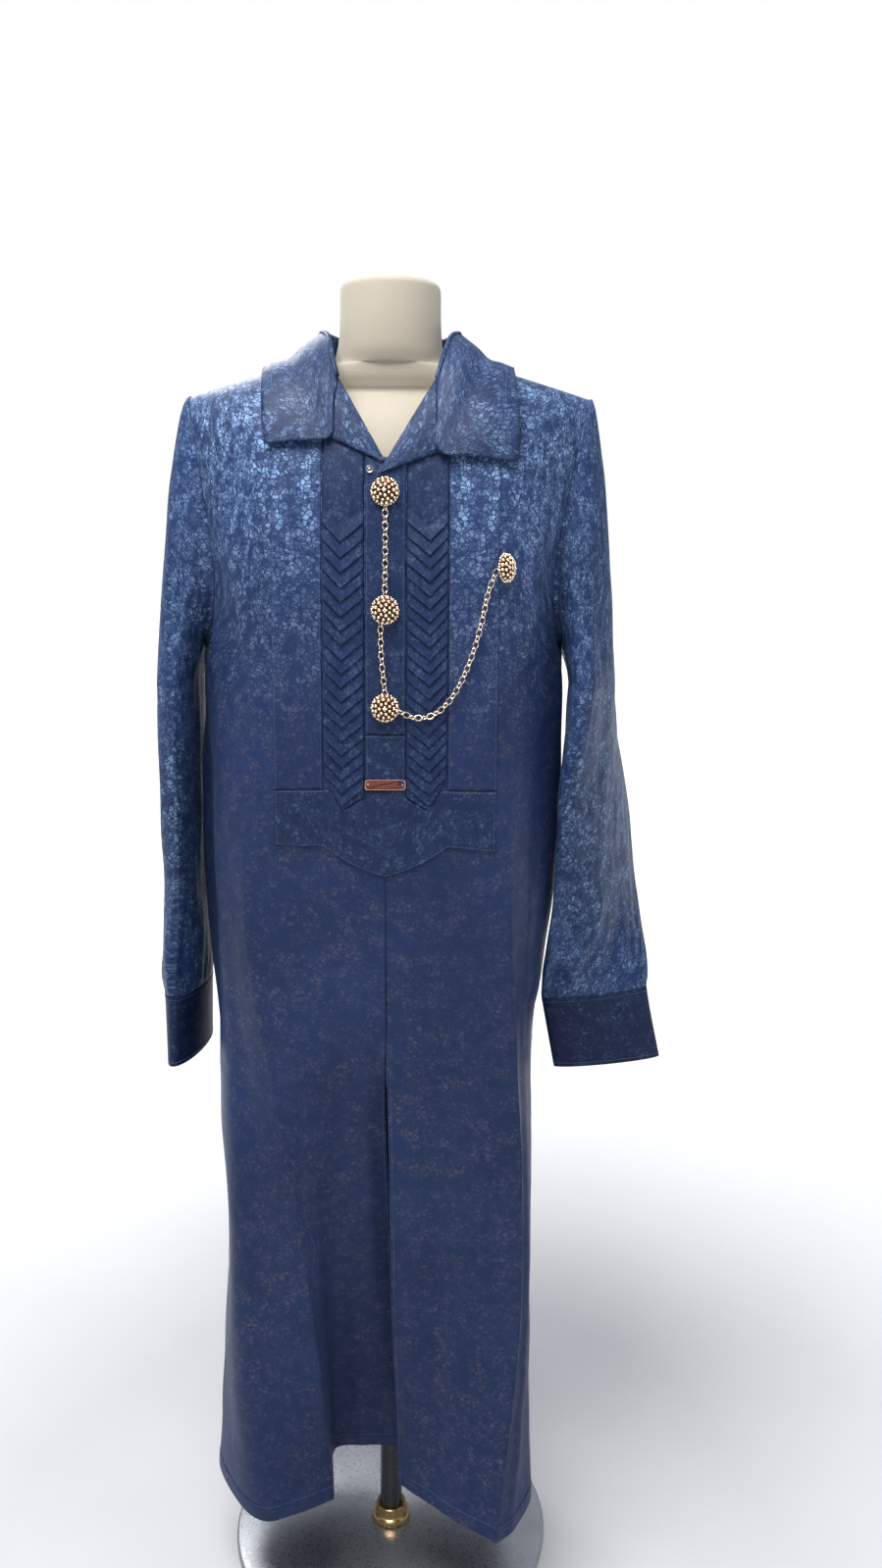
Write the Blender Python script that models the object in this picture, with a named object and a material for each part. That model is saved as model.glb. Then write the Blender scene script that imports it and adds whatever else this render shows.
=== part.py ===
"""Long kaftan worn by a limbless dress form on a pole stand.

Metres, +Z up, the garment's front towards -Y. The origin is the middle of the base plate's
underside, on the pole's axis. Right and left are the wearer's, so right is at -X.
"""
import math
from collections import namedtuple
from functools import lru_cache

import bmesh
import bpy
from mathutils import Matrix, Vector

# Cloth and seams
CLOTH = 0.0016
OVERLAY_CLOTH = 0.0014
SEAM_GAP = 0.0004
LAP_GAP = 0.0006

# Shoulders, neck and armholes
ARMPIT_Z = 1.030
SHOULDER_X = 0.200
SHOULDER_Z = 1.277
NECK_X = 0.064
NECK_Z = 1.316
NECK_BACK_Y = 0.058
V_BOTTOM_Z = 1.208
V_TOP = (0.0466, 1.2888)
V_TOP_PLACE = 1.5
CHEST_ROUNDNESS = 2.5
ARMHOLE_CURVE = 0.35

# Front opening, slit, side vents and bib
PLACKET_HALF = 0.0190
PLEAT_INNER = 0.0196
PLEAT_APEX = 0.0415
PLEAT_OUTER = 0.0590
BIB_HALF = 0.1060
PLACKET_SEAM_Z = 0.956
BAR_Z = 0.9085
BAR_SIZE = (0.0386, 0.0100, 0.0016)
BAND_TOP_Z = 0.9030
TUCK_RISE = 0.0018
TUCK_DROP = 0.0180
FIRST_TUCK_Z = 1.165
VENT_TOP_RIGHT = 0.545
VENT_TOP_LEFT = 0.618
VENT_SPREAD = 0.40
VENT_OPENING_HEIGHT = 0.10
SLIT_TOP_Z = 0.60

# Ends of the pleated panels and lower edge of the pointed band: heights
PLEAT_POINT_Z = 0.8830
PLEAT_INNER_Z = 0.8960
PLEAT_OUTER_Z = 0.9170
BAND_POINT_Z = 0.8170
BAND_SHOULDER_X = 0.0600
BAND_SHOULDER_Z = 0.8465
BAND_CORNER_Z = {-1.0: 0.8480, 1.0: 0.8430}
BAND_SWAY = 0.0040

# Collar roll and how far the lapels stand off the front
ROLL_RADIUS = 0.0032
LAPEL_LIFT = (0.0024, 0.0046)

# Studs and chain
STUD_RADIUS = 0.0135
STUD_HEIGHT = 0.0095
STUD_RIM = 0.0022
STUD_HEIGHTS = (1.180, 1.073, 0.982)
CHAIN_RADIUS = 0.0013
CHAIN_LIFT = 0.0058
SNAP_PLACE = (-0.0148, 1.2000)

# Dress form and stand
POLE_RADIUS = 0.0125
BASE_RADIUS = 0.180
BASE_HEIGHT = 0.008
FORM_BOTTOM_Z = 0.600
SOCKET_BORE = POLE_RADIUS + 0.0004
# Socket ring: radius and height above the base plate
SOCKET_PROFILE = (
    (SOCKET_BORE, 0.0003), (0.0215, 0.0003), (0.0225, 0.0020), (0.0225, 0.0060),
    (0.0185, 0.0090), (0.0175, 0.0180), (0.0165, 0.0200), (SOCKET_BORE, 0.0200))

# Colours: base colour, roughness, metallic
BLUE_CLOTH = ((0.024, 0.056, 0.155, 1.0), 0.42, 0.0)
CREAM_CLOTH = ((0.78, 0.72, 0.60, 1.0), 0.80, 0.0)
STUD_METAL = ((0.72, 0.56, 0.42, 1.0), 0.28, 1.0)
BAR_METAL = ((0.55, 0.24, 0.18, 1.0), 0.30, 1.0)
SNAP_METAL = ((0.70, 0.70, 0.72, 1.0), 0.25, 1.0)
POLE_METAL = ((0.05, 0.05, 0.055, 1.0), 0.25, 1.0)
SOCKET_METAL = ((0.55, 0.40, 0.22, 1.0), 0.30, 1.0)
BASE_METAL = ((0.60, 0.61, 0.62, 1.0), 0.20, 1.0)

# Front sections: a row for each height. Distances from the middle count outwards on either side.
# edge = centre-front edge, turn = how far the cloth folds back behind the crease (0 flat, 1 full),
# crease = main lengthwise crease, corner = between crease and side, side = side seam or vent edge.
FrontRow = namedtuple(
    "FrontRow", "z edge_x edge_y turn crease_x crease_y corner_x corner_y side_x side_y")
FRONT_RIGHT = (
    FrontRow(1.030, 0.000, -0.118, 0.00, 0.112, -0.116, 0.165, -0.072, 0.1905, 0.000),
    FrontRow(0.930, 0.000, -0.120, 0.00, 0.122, -0.118, 0.171, -0.075, 0.1930, 0.000),
    FrontRow(0.843, 0.000, -0.120, 0.00, 0.136, -0.117, 0.175, -0.076, 0.1930, 0.000),
    FrontRow(0.740, 0.000, -0.119, 0.00, 0.135, -0.118, 0.172, -0.078, 0.1900, 0.000),
    FrontRow(0.640, 0.000, -0.117, 0.00, 0.119, -0.121, 0.166, -0.086, 0.1840, 0.000),
    FrontRow(0.545, 0.000, -0.101, 0.20, 0.102, -0.122, 0.159, -0.100, 0.1830, -0.010),
    FrontRow(0.430, -0.004, -0.082, 0.45, 0.087, -0.122, 0.152, -0.110, 0.1720, -0.045),
    FrontRow(0.290, -0.008, -0.060, 0.72, 0.070, -0.118, 0.146, -0.120, 0.1800, -0.050),
    FrontRow(0.120, -0.014, -0.034, 1.00, 0.057, -0.110, 0.130, -0.127, 0.1905, -0.048),
)
FRONT_LEFT = (
    FrontRow(1.030, 0.000, -0.118, 0.00, 0.112, -0.116, 0.158, -0.070, 0.1760, 0.000),
    FrontRow(0.948, 0.000, -0.120, 0.00, 0.109, -0.119, 0.158, -0.072, 0.1760, 0.000),
    FrontRow(0.845, 0.000, -0.120, 0.00, 0.118, -0.119, 0.157, -0.072, 0.1740, 0.000),
    FrontRow(0.765, 0.000, -0.119, 0.00, 0.122, -0.119, 0.153, -0.075, 0.1680, 0.000),
    FrontRow(0.690, 0.000, -0.118, 0.00, 0.127, -0.118, 0.149, -0.070, 0.1600, 0.000),
    FrontRow(0.607, 0.001, -0.118, 0.00, 0.132, -0.117, 0.146, -0.070, 0.1515, -0.012),
    FrontRow(0.510, 0.003, -0.116, 0.00, 0.138, -0.115, 0.148, -0.085, 0.1515, -0.050),
    FrontRow(0.350, 0.005, -0.108, 0.00, 0.139, -0.120, 0.149, -0.091, 0.1520, -0.056),
    FrontRow(0.250, 0.008, -0.098, 0.00, 0.131, -0.132, 0.147, -0.102, 0.1530, -0.066),
    FrontRow(0.120, 0.012, -0.085, 0.00, 0.116, -0.148, 0.142, -0.119, 0.1570, -0.085),
)

# Back sections, alike on both sides: corner_x is a share of the side seam's distance
BackRow = namedtuple("BackRow", "z centre_y mid_y corner_share corner_y")
BACK = (
    BackRow(1.030, 0.112, 0.108, 0.870, 0.064),
    BackRow(0.800, 0.112, 0.109, 0.880, 0.068),
    BackRow(0.600, 0.109, 0.112, 0.920, 0.076),
    BackRow(0.350, 0.106, 0.117, 0.930, 0.086),
    BackRow(0.120, 0.110, 0.125, 0.900, 0.096),
)

# Hem heights round the ring, by section position
HemRow = namedtuple("HemRow", "place z")
HEM = (
    HemRow(0.0, 0.130), HemRow(2.0, 0.130), HemRow(3.0, 0.125), HemRow(4.0, 0.1135),
    HemRow(5.0, 0.120), HemRow(6.5, 0.111), HemRow(8.0, 0.116), HemRow(9.5, 0.110),
    HemRow(11.0, 0.112), HemRow(12.0, 0.108), HemRow(13.0, 0.107), HemRow(16.0, 0.125),
)

# Soft folds on the body: places are section positions, depth is outwards
FoldRow = namedtuple("FoldRow", "place_top place_bottom z_top z_bottom depth width")
BODY_FOLDS = (
    FoldRow(3.80, 3.05, 1.262, 0.960, 0.0075, 0.32),
    FoldRow(4.30, 4.35, 1.020, 0.600, -0.0070, 0.30),
    FoldRow(4.72, 4.80, 0.960, 0.640, 0.0045, 0.22),
    FoldRow(12.15, 12.75, 1.245, 0.990, 0.0055, 0.30),
    FoldRow(11.62, 11.50, 1.010, 0.660, 0.0055, 0.24),
    FoldRow(12.15, 12.20, 0.980, 0.620, -0.0060, 0.28),
    FoldRow(7.00, 6.75, 1.180, 0.060, 0.0100, 0.34),
    FoldRow(6.35, 6.20, 0.980, 0.060, -0.0080, 0.28),
    FoldRow(7.75, 7.70, 0.930, 0.060, -0.0085, 0.34),
    FoldRow(8.60, 8.75, 1.080, 0.060, 0.0090, 0.34),
    FoldRow(9.55, 9.70, 1.010, 0.060, -0.0095, 0.32),
    FoldRow(10.20, 10.25, 1.120, 0.060, 0.0085, 0.28),
)

# Hanging sleeve sections, armhole to cuff. x counts outwards. long = half the flattened width,
# short = half the thickness, turn = degrees that the front edge swings towards the body,
# rise = height gained for each metre outwards.
SleeveRow = namedtuple("SleeveRow", "z x y long short turn rise")
SLEEVE_RIGHT = (
    SleeveRow(1.000, 0.2170, 0.000, 0.098, 0.0195, 0.0, 0.00),
    SleeveRow(0.948, 0.2180, 0.000, 0.093, 0.0210, 0.0, 0.00),
    SleeveRow(0.860, 0.2185, 0.002, 0.085, 0.0215, -1.0, 0.00),
    SleeveRow(0.779, 0.2190, 0.004, 0.077, 0.0210, -2.0, 0.00),
    SleeveRow(0.720, 0.2210, 0.005, 0.070, 0.0215, -4.0, 0.00),
    SleeveRow(0.690, 0.2215, 0.005, 0.063, 0.0220, -6.0, 0.00),
    SleeveRow(0.669, 0.2215, 0.005, 0.057, 0.0205, -7.0, 0.00),
    SleeveRow(0.592, 0.2235, 0.005, 0.0575, 0.0155, -8.0, 0.00),
)
SLEEVE_LEFT = (
    SleeveRow(1.000, 0.2095, 0.000, 0.098, 0.0235, 5.0, 0.00),
    SleeveRow(0.948, 0.2110, -0.002, 0.093, 0.0220, 10.0, 0.00),
    SleeveRow(0.889, 0.2125, -0.004, 0.087, 0.0200, 20.0, 0.00),
    SleeveRow(0.782, 0.2165, -0.010, 0.078, 0.0180, 30.0, 0.00),
    SleeveRow(0.722, 0.2165, -0.018, 0.070, 0.0170, 43.0, 0.02),
    SleeveRow(0.692, 0.2175, -0.024, 0.063, 0.0155, 62.0, 0.05),
    SleeveRow(0.6695, 0.2180, -0.026, 0.0580, 0.0135, 80.0, 0.06),
    SleeveRow(0.5915, 0.2335, -0.026, 0.0580, 0.0100, 83.0, 0.06),
)
CUFF_TOP_RIGHT = 0.669
CUFF_TOP_LEFT = 0.6695
SLEEVE_BULGE = 0.010

# Soft folds on the sleeves: place is an angle round the tube, 0 outermost, 90 at the front
SLEEVE_FOLDS_RIGHT = (
    FoldRow(40.0, 35.0, 1.20, 0.68, 0.0050, 26.0),
    FoldRow(75.0, 80.0, 1.15, 0.72, -0.0045, 22.0),
    FoldRow(215.0, 225.0, 1.10, 0.70, 0.0050, 28.0),
    FoldRow(310.0, 300.0, 1.18, 0.72, -0.0050, 26.0),
)
SLEEVE_FOLDS_LEFT = (
    FoldRow(110.0, 60.0, 1.16, 0.78, 0.0055, 24.0),
    FoldRow(30.0, 20.0, 1.22, 0.70, 0.0045, 24.0),
    FoldRow(75.0, 45.0, 0.84, 0.66, -0.0055, 22.0),
    FoldRow(230.0, 245.0, 1.10, 0.70, 0.0050, 28.0),
    FoldRow(310.0, 300.0, 1.15, 0.72, -0.0050, 26.0),
)

# Collar stations from the gorge seam round to the centre back, for one side.
# place = position on the neckline, stand = height of the rolled stand,
# mid and outer are the falling leaf's middle and its free edge: x outwards, and an angle
# over the shoulder, 0 at the armpit's level in front, 90 on the seam, 180 behind.
CollarRow = namedtuple("CollarRow", "place stand mid_x mid_angle outer_x outer_angle")
COLLAR_RIGHT = (
    CollarRow(0.00, 0.0045, 0.0505, 38.4, 0.1110, 39.9),
    CollarRow(0.22, 0.0140, 0.0720, 48.8, 0.1150, 49.5),
    CollarRow(0.42, 0.0220, 0.0920, 77.7, 0.1190, 74.7),
    CollarRow(0.58, 0.0270, 0.0950, 94.5, 0.1180, 96.7),
    CollarRow(0.76, 0.0300, 0.0790, 116.0, 0.0950, 125.0),
    CollarRow(0.90, 0.0320, 0.0430, 126.5, 0.0500, 135.0),
    CollarRow(1.00, 0.0330, 0.0000, 128.8, 0.0000, 137.7),
)
COLLAR_LEFT = (
    CollarRow(0.00, 0.0045, 0.0486, 34.9, 0.1200, 36.0),
    CollarRow(0.22, 0.0140, 0.0720, 46.5, 0.1230, 46.0),
) + COLLAR_RIGHT[2:]
COLLAR_STATIONS = (0.0, 0.07, 0.15, 0.24, 0.33, 0.42, 0.5, 0.58, 0.66, 0.76, 0.88, 1.0)
LEAF_LIFT = (0.0066, 0.0056)
# Peaks of the lapels and points of the collar on the front: x outwards, z
LAPEL_PEAK = {-1.0: (0.0505, 1.2280), 1.0: (0.0486, 1.2158)}
COLLAR_POINT = {-1.0: (0.1110, 1.2210), 1.0: (0.1200, 1.2063)}

# Torso rings of the dress form
TorsoRow = namedtuple("TorsoRow", "z half_width half_depth")
TORSO = (
    TorsoRow(0.600, 0.134, 0.090), TorsoRow(0.606, 0.140, 0.095), TorsoRow(0.680, 0.146, 0.100),
    TorsoRow(0.760, 0.149, 0.100), TorsoRow(0.860, 0.139, 0.093), TorsoRow(0.960, 0.131, 0.088),
    TorsoRow(1.050, 0.145, 0.095), TorsoRow(1.130, 0.159, 0.099), TorsoRow(1.200, 0.171, 0.094),
    TorsoRow(1.240, 0.180, 0.076), TorsoRow(1.264, 0.186, 0.054), TorsoRow(1.278, 0.184, 0.034),
)
# Rings along the shoulders, which carry the cloth; sink = how far they keep below it
RidgeRow = namedtuple("RidgeRow", "half_width half_depth sink")
RIDGE = (
    RidgeRow(0.1560, 0.035, 0.0000), RidgeRow(0.1260, 0.037, 0.0000),
    RidgeRow(0.0960, 0.038, 0.0003), RidgeRow(0.0745, 0.038, 0.0030),
    RidgeRow(0.0590, 0.040, 0.0060),
)
NECK_RADII = (0.050, 0.046)
NECK_TOP_Z = 1.385

# Free-hanging chain from the lowest placket stud to the pinned stud: x and z on the front
SWAG = ((0.0150, 0.9780), (0.0280, 0.9730), (0.0440, 0.9750), (0.0580, 0.9860), (0.0690, 1.0020),
        (0.0785, 1.0230), (0.0860, 1.0465), (0.0915, 1.0700), (0.0950, 1.0900), (0.0970, 1.1040))
PINNED_STUD = (0.1075, 1.1115)
PINNED_STUD_TURN = 46.0
PINNED_STUD_LIFT = 0.0073


# Shared helpers for tables, rings and walls

def smooth_column(rows, key, name, value):
    """One named column of a table, read smoothly at a value of its key column."""
    ordered = sorted(rows, key=lambda row: getattr(row, key))
    keys = [getattr(row, key) for row in ordered]
    data = [getattr(row, name) for row in ordered]
    if value <= keys[0]:
        return data[0]
    if value >= keys[-1]:
        return data[-1]
    i = max(k for k in range(len(keys) - 1) if keys[k] <= value)
    span = keys[i + 1] - keys[i]
    f = (value - keys[i]) / span

    def slope(k):
        low = max(k - 1, 0)
        high = min(k + 1, len(keys) - 1)
        return (data[high] - data[low]) / (keys[high] - keys[low])

    f2 = f * f
    f3 = f2 * f
    return ((2 * f3 - 3 * f2 + 1) * data[i] + (f3 - 2 * f2 + f) * span * slope(i)
            + (3 * f2 - 2 * f3) * data[i + 1] + (f3 - f2) * span * slope(i + 1))


def mix(a, b, share):
    return a + (b - a) * share


def clamp01(value):
    return min(1.0, max(0.0, value))


def ease(value):
    v = clamp01(value)
    return v * v * (3.0 - 2.0 * v)


def shoulder_z(x):
    """Height of the shoulder seam above a point across the body."""
    return NECK_Z - (abs(x) - NECK_X) * (NECK_Z - SHOULDER_Z) / (SHOULDER_X - NECK_X)


def fold_shape(folds, place, z, turn=None):
    """Outward distance that the listed folds add at one place and height."""
    total = 0.0
    for row in folds:
        if not row.z_bottom < z < row.z_top:
            continue
        along = (row.z_top - z) / (row.z_top - row.z_bottom)
        centre = mix(row.place_top, row.place_bottom, along)
        gap = place - centre
        if turn is not None:
            gap = (gap + turn / 2.0) % turn - turn / 2.0
        total += row.depth * math.exp(-(gap / row.width) ** 2) * math.sin(math.pi * along) ** 0.6
    return total


# Body surface: section positions 0 to 5 run from the centre front to the right side seam,
# 5 to 11 across the back, and 11 to 16 from the left side seam to the centre front.

def neck_share(rows):
    """Where the neck corner's column stands between the centre front and the crease."""
    top = rows[0]
    return NECK_X * top.corner_x / SHOULDER_X / top.crease_x


def front_anchors(rows, z, side):
    def column(name):
        return smooth_column(rows, "z", name, z)

    edge = Vector((side * column("edge_x"), column("edge_y")))
    crease = Vector((side * column("crease_x"), column("crease_y")))
    turn = clamp01(column("turn"))
    behind = Vector((crease.x + side * 0.004, edge.y - 0.006))
    middle = Vector((crease.x * 0.5, edge.y))
    near = edge.lerp(crease, neck_share(rows) / 2.0).lerp(middle, turn)
    far = edge.lerp(crease, neck_share(rows)).lerp(behind, turn)
    corner = Vector((side * column("corner_x"), column("corner_y")))
    seam = Vector((side * column("side_x"), column("side_y")))
    return [edge, near, far, crease, corner, seam]


@lru_cache(maxsize=None)
def section(z):
    """Anchor points of one level section, with the spacing between them."""
    level = min(z, ARMPIT_Z)
    right = front_anchors(FRONT_RIGHT, level, -1.0)
    left = front_anchors(FRONT_LEFT, level, 1.0)

    def column(name):
        return smooth_column(BACK, "z", name, level)

    points = list(right)
    share = column("corner_share")
    top_share = BACK[0].corner_share
    neck_right = NECK_X * FRONT_RIGHT[0].side_x * top_share / SHOULDER_X
    neck_left = NECK_X * FRONT_LEFT[0].side_x * top_share / SHOULDER_X
    points.append(Vector((right[5].x * share, column("corner_y"))))
    points.append(Vector((-neck_right, column("mid_y"))))
    points.append(Vector((0.0, column("centre_y"))))
    points.append(Vector((neck_left, column("mid_y"))))
    points.append(Vector((left[5].x * share, column("corner_y"))))
    points.extend(reversed(left))
    gaps = [(b - a).length for a, b in zip(points, points[1:])]
    return points, gaps


def ring(place, z):
    """Plan position and outward direction of the body at a section position and height."""
    points, gaps = section(round(z, 5))
    last = len(points) - 1
    i = min(int(max(place, 0.0)), last - 1)
    f = place - i

    def slope(k):
        if k == 0:
            return (points[1] - points[0]) / gaps[0]
        if k == last:
            return (points[last] - points[last - 1]) / gaps[last - 1]
        return (points[k + 1] - points[k - 1]) / (gaps[k - 1] + gaps[k])

    span = gaps[i]
    f2 = f * f
    f3 = f2 * f
    spot = ((2 * f3 - 3 * f2 + 1) * points[i] + (f3 - 2 * f2 + f) * span * slope(i)
            + (3 * f2 - 2 * f3) * points[i + 1] + (f3 - f2) * span * slope(i + 1))
    along = ((6 * f2 - 6 * f) * points[i] + (3 * f2 - 4 * f + 1) * span * slope(i)
             + (6 * f - 6 * f2) * points[i + 1] + (3 * f2 - 2 * f) * span * slope(i + 1))
    along.normalize()
    return spot, Vector((-along.y, along.x))


def armhole_scale(place):
    """How much wider the shoulder is than the section below the armhole."""
    edge = {True: 4.0, False: 6.0}[place < 5.0 or place > 11.0]
    if place > 8.0:
        edge = 16.0 - edge
    return SHOULDER_X / abs(ring(edge, ARMPIT_Z)[0].x)


def upper_point(place, h):
    """Body surface above the armpits, h from 0 at the armpit to 1 at the shoulder seam."""
    spot, outward = ring(place, ARMPIT_Z)
    height = clamp01(h)
    x = spot.x * (1.0 + (armhole_scale(place) - 1.0) * height ** 2)
    z = ARMPIT_Z + (shoulder_z(x) - ARMPIT_Z) * height
    depth = (1.0 - height ** CHEST_ROUNDNESS) ** (1.0 / CHEST_ROUNDNESS)
    lift = outward * fold_shape(BODY_FOLDS, place, z) * depth
    return Vector((x + lift.x, spot.y * depth + lift.y, z))


def lower_point(place, z):
    """Body surface below the armpits."""
    spot, outward = ring(place, z)
    flat = spot + outward * fold_shape(BODY_FOLDS, place, z)
    return Vector((flat.x, flat.y, z))


def surface(place, level):
    """Body surface: level below 0 is a height under the armpit, above 0 is h."""
    if level <= 0.0:
        return lower_point(place, ARMPIT_Z + level)
    return upper_point(place, level)


def surface_normal(place, level):
    """Outward normal of the body surface, across seams as well."""
    if level >= 0.999:
        slope = (NECK_Z - SHOULDER_Z) / (SHOULDER_X - NECK_X)
        side = math.copysign(1.0, surface(place, level).x)
        return Vector((side * slope, 0.0, 1.0)).normalized()
    step = 0.004
    across = surface(min(place + 0.03, 16.0), level) - surface(max(place - 0.03, 0.0), level)
    high = min(level + step, 0.995)
    up = surface(place, high) - surface(place, level - step)
    normal = up.cross(across)
    if normal.length < 1e-9:
        flat = ring(place, ARMPIT_Z)[1]
        return Vector((flat.x, flat.y, 0.0))
    return normal.normalized()


def angle_level(angle):
    """Level above the armpit for an angle over the shoulder, 90 on the seam."""
    return math.sin(math.radians(angle)) ** (2.0 / CHEST_ROUNDNESS)


def level_angle(h):
    return math.degrees(math.asin(h ** (CHEST_ROUNDNESS / 2.0)))


def front_edge(h):
    """Section position of the front armhole edge."""
    q = clamp01(h / ARMHOLE_CURVE)
    return 5.0 - math.sqrt(1.0 - (1.0 - q) ** 2)


def solve(low, high, value):
    """Root of a rising function by halving."""
    for _ in range(40):
        middle = (low + high) / 2.0
        if value(middle) > 0.0:
            high = middle
        else:
            low = middle
    return (low + high) / 2.0


def v_line(distance):
    """Height of the straight V edge at a distance from the middle."""
    return V_BOTTOM_Z + (V_TOP[1] - V_BOTTOM_Z) * distance / V_TOP[0]


@lru_cache(maxsize=None)
def neck_top(place):
    """Level at which a column ends: the V in front, the back neckline, else the shoulder."""
    if 2.0 <= place <= 7.0 or 9.0 <= place <= 14.0:
        return 1.0
    front = min(place, 16.0 - place)
    if front <= V_TOP_PLACE:
        return solve(0.3, 1.0, lambda h: surface(place, h).z - v_line(abs(surface(place, h).x)))
    if front < 2.0:
        top = V_TOP_PLACE if place < 2.0 else 16.0 - V_TOP_PLACE
        reach = abs(surface(top, neck_top(top)).y) * (2.0 - front) / (2.0 - V_TOP_PLACE)
        return solve(0.5, 1.0, lambda h: reach - abs(surface(place, h).y))

    def back_excess(h):
        spot = surface(place, h)
        return NECK_BACK_Y * math.sqrt(max(0.0, 1.0 - (spot.x / NECK_X) ** 2)) - spot.y

    return solve(0.5, 1.0, back_excess)


def place_across(x, level, back=False):
    """Section position of the surface point that far across, on the front or the back."""
    if back:
        return solve(5.5, 10.5, lambda t: surface(t, level).x - x)
    if x <= 0.0:
        return solve(0.0, 4.0, lambda t: x - surface(t, level).x)
    return solve(12.0, 16.0, lambda t: x - surface(t, level).x)


def front_point(x, z, lift):
    """Point above the front at a position across and a height, moved out by the lift."""
    if z <= ARMPIT_Z:
        level = z - ARMPIT_Z
    else:
        level = (z - ARMPIT_Z) / (shoulder_z(x) - ARMPIT_Z)
    place = place_across(x, level)
    normal = surface_normal(place, level)
    if abs(x) < 0.02:
        normal.x = 0.0
        normal.normalize()
    return surface(place, level) + normal * lift


def draped_point(x, angle, lift):
    """Point above the chest, shoulder or back: how far across, and the angle over the shoulder."""
    back = angle > 90.0
    level = angle_level(angle)
    place = place_across(x, level, back)
    return surface(place, level) + surface_normal(place, level) * lift


# Materials and objects

def material(name, look):
    made = bpy.data.materials.new(name)
    made.use_nodes = True
    shader = made.node_tree.nodes["Principled BSDF"]
    shader.inputs["Base Color"].default_value = look[0]
    shader.inputs["Roughness"].default_value = look[1]
    shader.inputs["Metallic"].default_value = look[2]
    made.diffuse_color = look[0]
    return made


def place_object(name, mesh, look, smooth=True):
    if smooth:
        mesh.shade_smooth()
        mesh.set_sharp_from_angle(angle=math.radians(50))
    mesh.materials.append(material(name + "_material", look))
    made = bpy.data.objects.new(name, mesh)
    bpy.context.scene.collection.objects.link(made)
    made.parent = bpy.data.objects["kaftan_on_form"]
    return made


def finished_mesh(name, solid):
    """Mesh of a closed solid with its faces pointing outwards."""
    bmesh.ops.recalc_face_normals(solid, faces=solid.faces)
    if solid.calc_volume(signed=True) < 0.0:
        bmesh.ops.reverse_faces(solid, faces=solid.faces)
    mesh = bpy.data.meshes.new(name)
    solid.to_mesh(mesh)
    solid.free()
    return mesh


def wall(name, outer, inner, look, tube=False):
    """Closed cloth wall between an outer and an inner grid of points, rows by columns."""
    shell = bmesh.new()
    skins = [[[shell.verts.new(p) for p in row] for row in grid] for grid in (outer, inner)]
    rows = len(outer)
    columns = len(outer[0])
    spans = columns if tube else columns - 1
    for skin in skins:
        for j in range(rows - 1):
            for i in range(spans):
                k = (i + 1) % columns
                shell.faces.new((skin[j][i], skin[j][k], skin[j + 1][k], skin[j + 1][i]))
    for j in (0, rows - 1):
        for i in range(spans):
            k = (i + 1) % columns
            shell.faces.new((skins[0][j][i], skins[0][j][k], skins[1][j][k], skins[1][j][i]))
    if not tube:
        for i in (0, columns - 1):
            for j in range(rows - 1):
                shell.faces.new(
                    (skins[0][j][i], skins[0][j + 1][i], skins[1][j + 1][i], skins[1][j][i]))
    return place_object(name, finished_mesh(name, shell), look)


def grid_normals(grid, tube=False):
    """Normals of a grid of points from its neighbours, rows by columns."""
    rows = len(grid)
    columns = len(grid[0])
    normals = []
    for j in range(rows):
        line = []
        for i in range(columns):
            if tube:
                before = grid[j][(i - 1) % columns]
                after = grid[j][(i + 1) % columns]
            else:
                before = grid[j][max(i - 1, 0)]
                after = grid[j][min(i + 1, columns - 1)]
            up = grid[min(j + 1, rows - 1)][i] - grid[max(j - 1, 0)][i]
            line.append((after - before).cross(up).normalized())
        normals.append(line)
    return normals


def lathe(name, rings, look, segments=32, smooth=True):
    """Closed turned solid from rings of z, x radius and y radius, bottom to top."""
    solid = bmesh.new()
    loops = []
    for z, rx, ry in rings:
        loop = []
        for k in range(segments):
            angle = 2.0 * math.pi * k / segments
            loop.append(solid.verts.new((rx * math.cos(angle), ry * math.sin(angle), z)))
        loops.append(loop)
    for low, high in zip(loops, loops[1:]):
        for k in range(segments):
            n = (k + 1) % segments
            solid.faces.new((low[k], low[n], high[n], high[k]))
    solid.faces.new(reversed(loops[0]))
    solid.faces.new(loops[-1])
    return place_object(name, finished_mesh(name, solid), look, smooth)


# Fronts and back: panels of the body surface

LOWER_ROWS = 14
UPPER_SHARES = (0.0, 0.04, 0.10, 0.20, 0.33, 0.47, 0.62, 0.78, 0.90, 1.0)
UPPER_ROWS = len(UPPER_SHARES) - 1
FRONT_COLUMNS = (0.0, 0.5, 1.0, 1.5, 1.75, 2.0, 2.5, 3.0, 3.25, 3.5, 3.75, 4.0, 4.33, 4.66, 5.0)
BACK_COLUMNS = (5.0, 5.33, 5.66, 6.0, 6.25, 6.5, 6.75, 7.0, 7.33, 7.66, 8.0)


def upper_level(row):
    return angle_level(90.0 * UPPER_SHARES[row])


def panel_place(column, level, back):
    """Section position of a panel column, kept inside the armhole edge above the armpit."""
    if level <= 0.0:
        return column
    edge = front_edge(level)
    if not back:
        return column if column <= 3.0 else 3.0 + (column - 3.0) / 2.0 * (edge - 3.0)
    return column if column >= 7.0 else 7.0 - (7.0 - column) / 2.0 * (edge - 3.0)


def vent_shift(z, side):
    top = VENT_TOP_RIGHT if side < 0 else VENT_TOP_LEFT
    return VENT_SPREAD * ease((top - z) / VENT_OPENING_HEIGHT)


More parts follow.
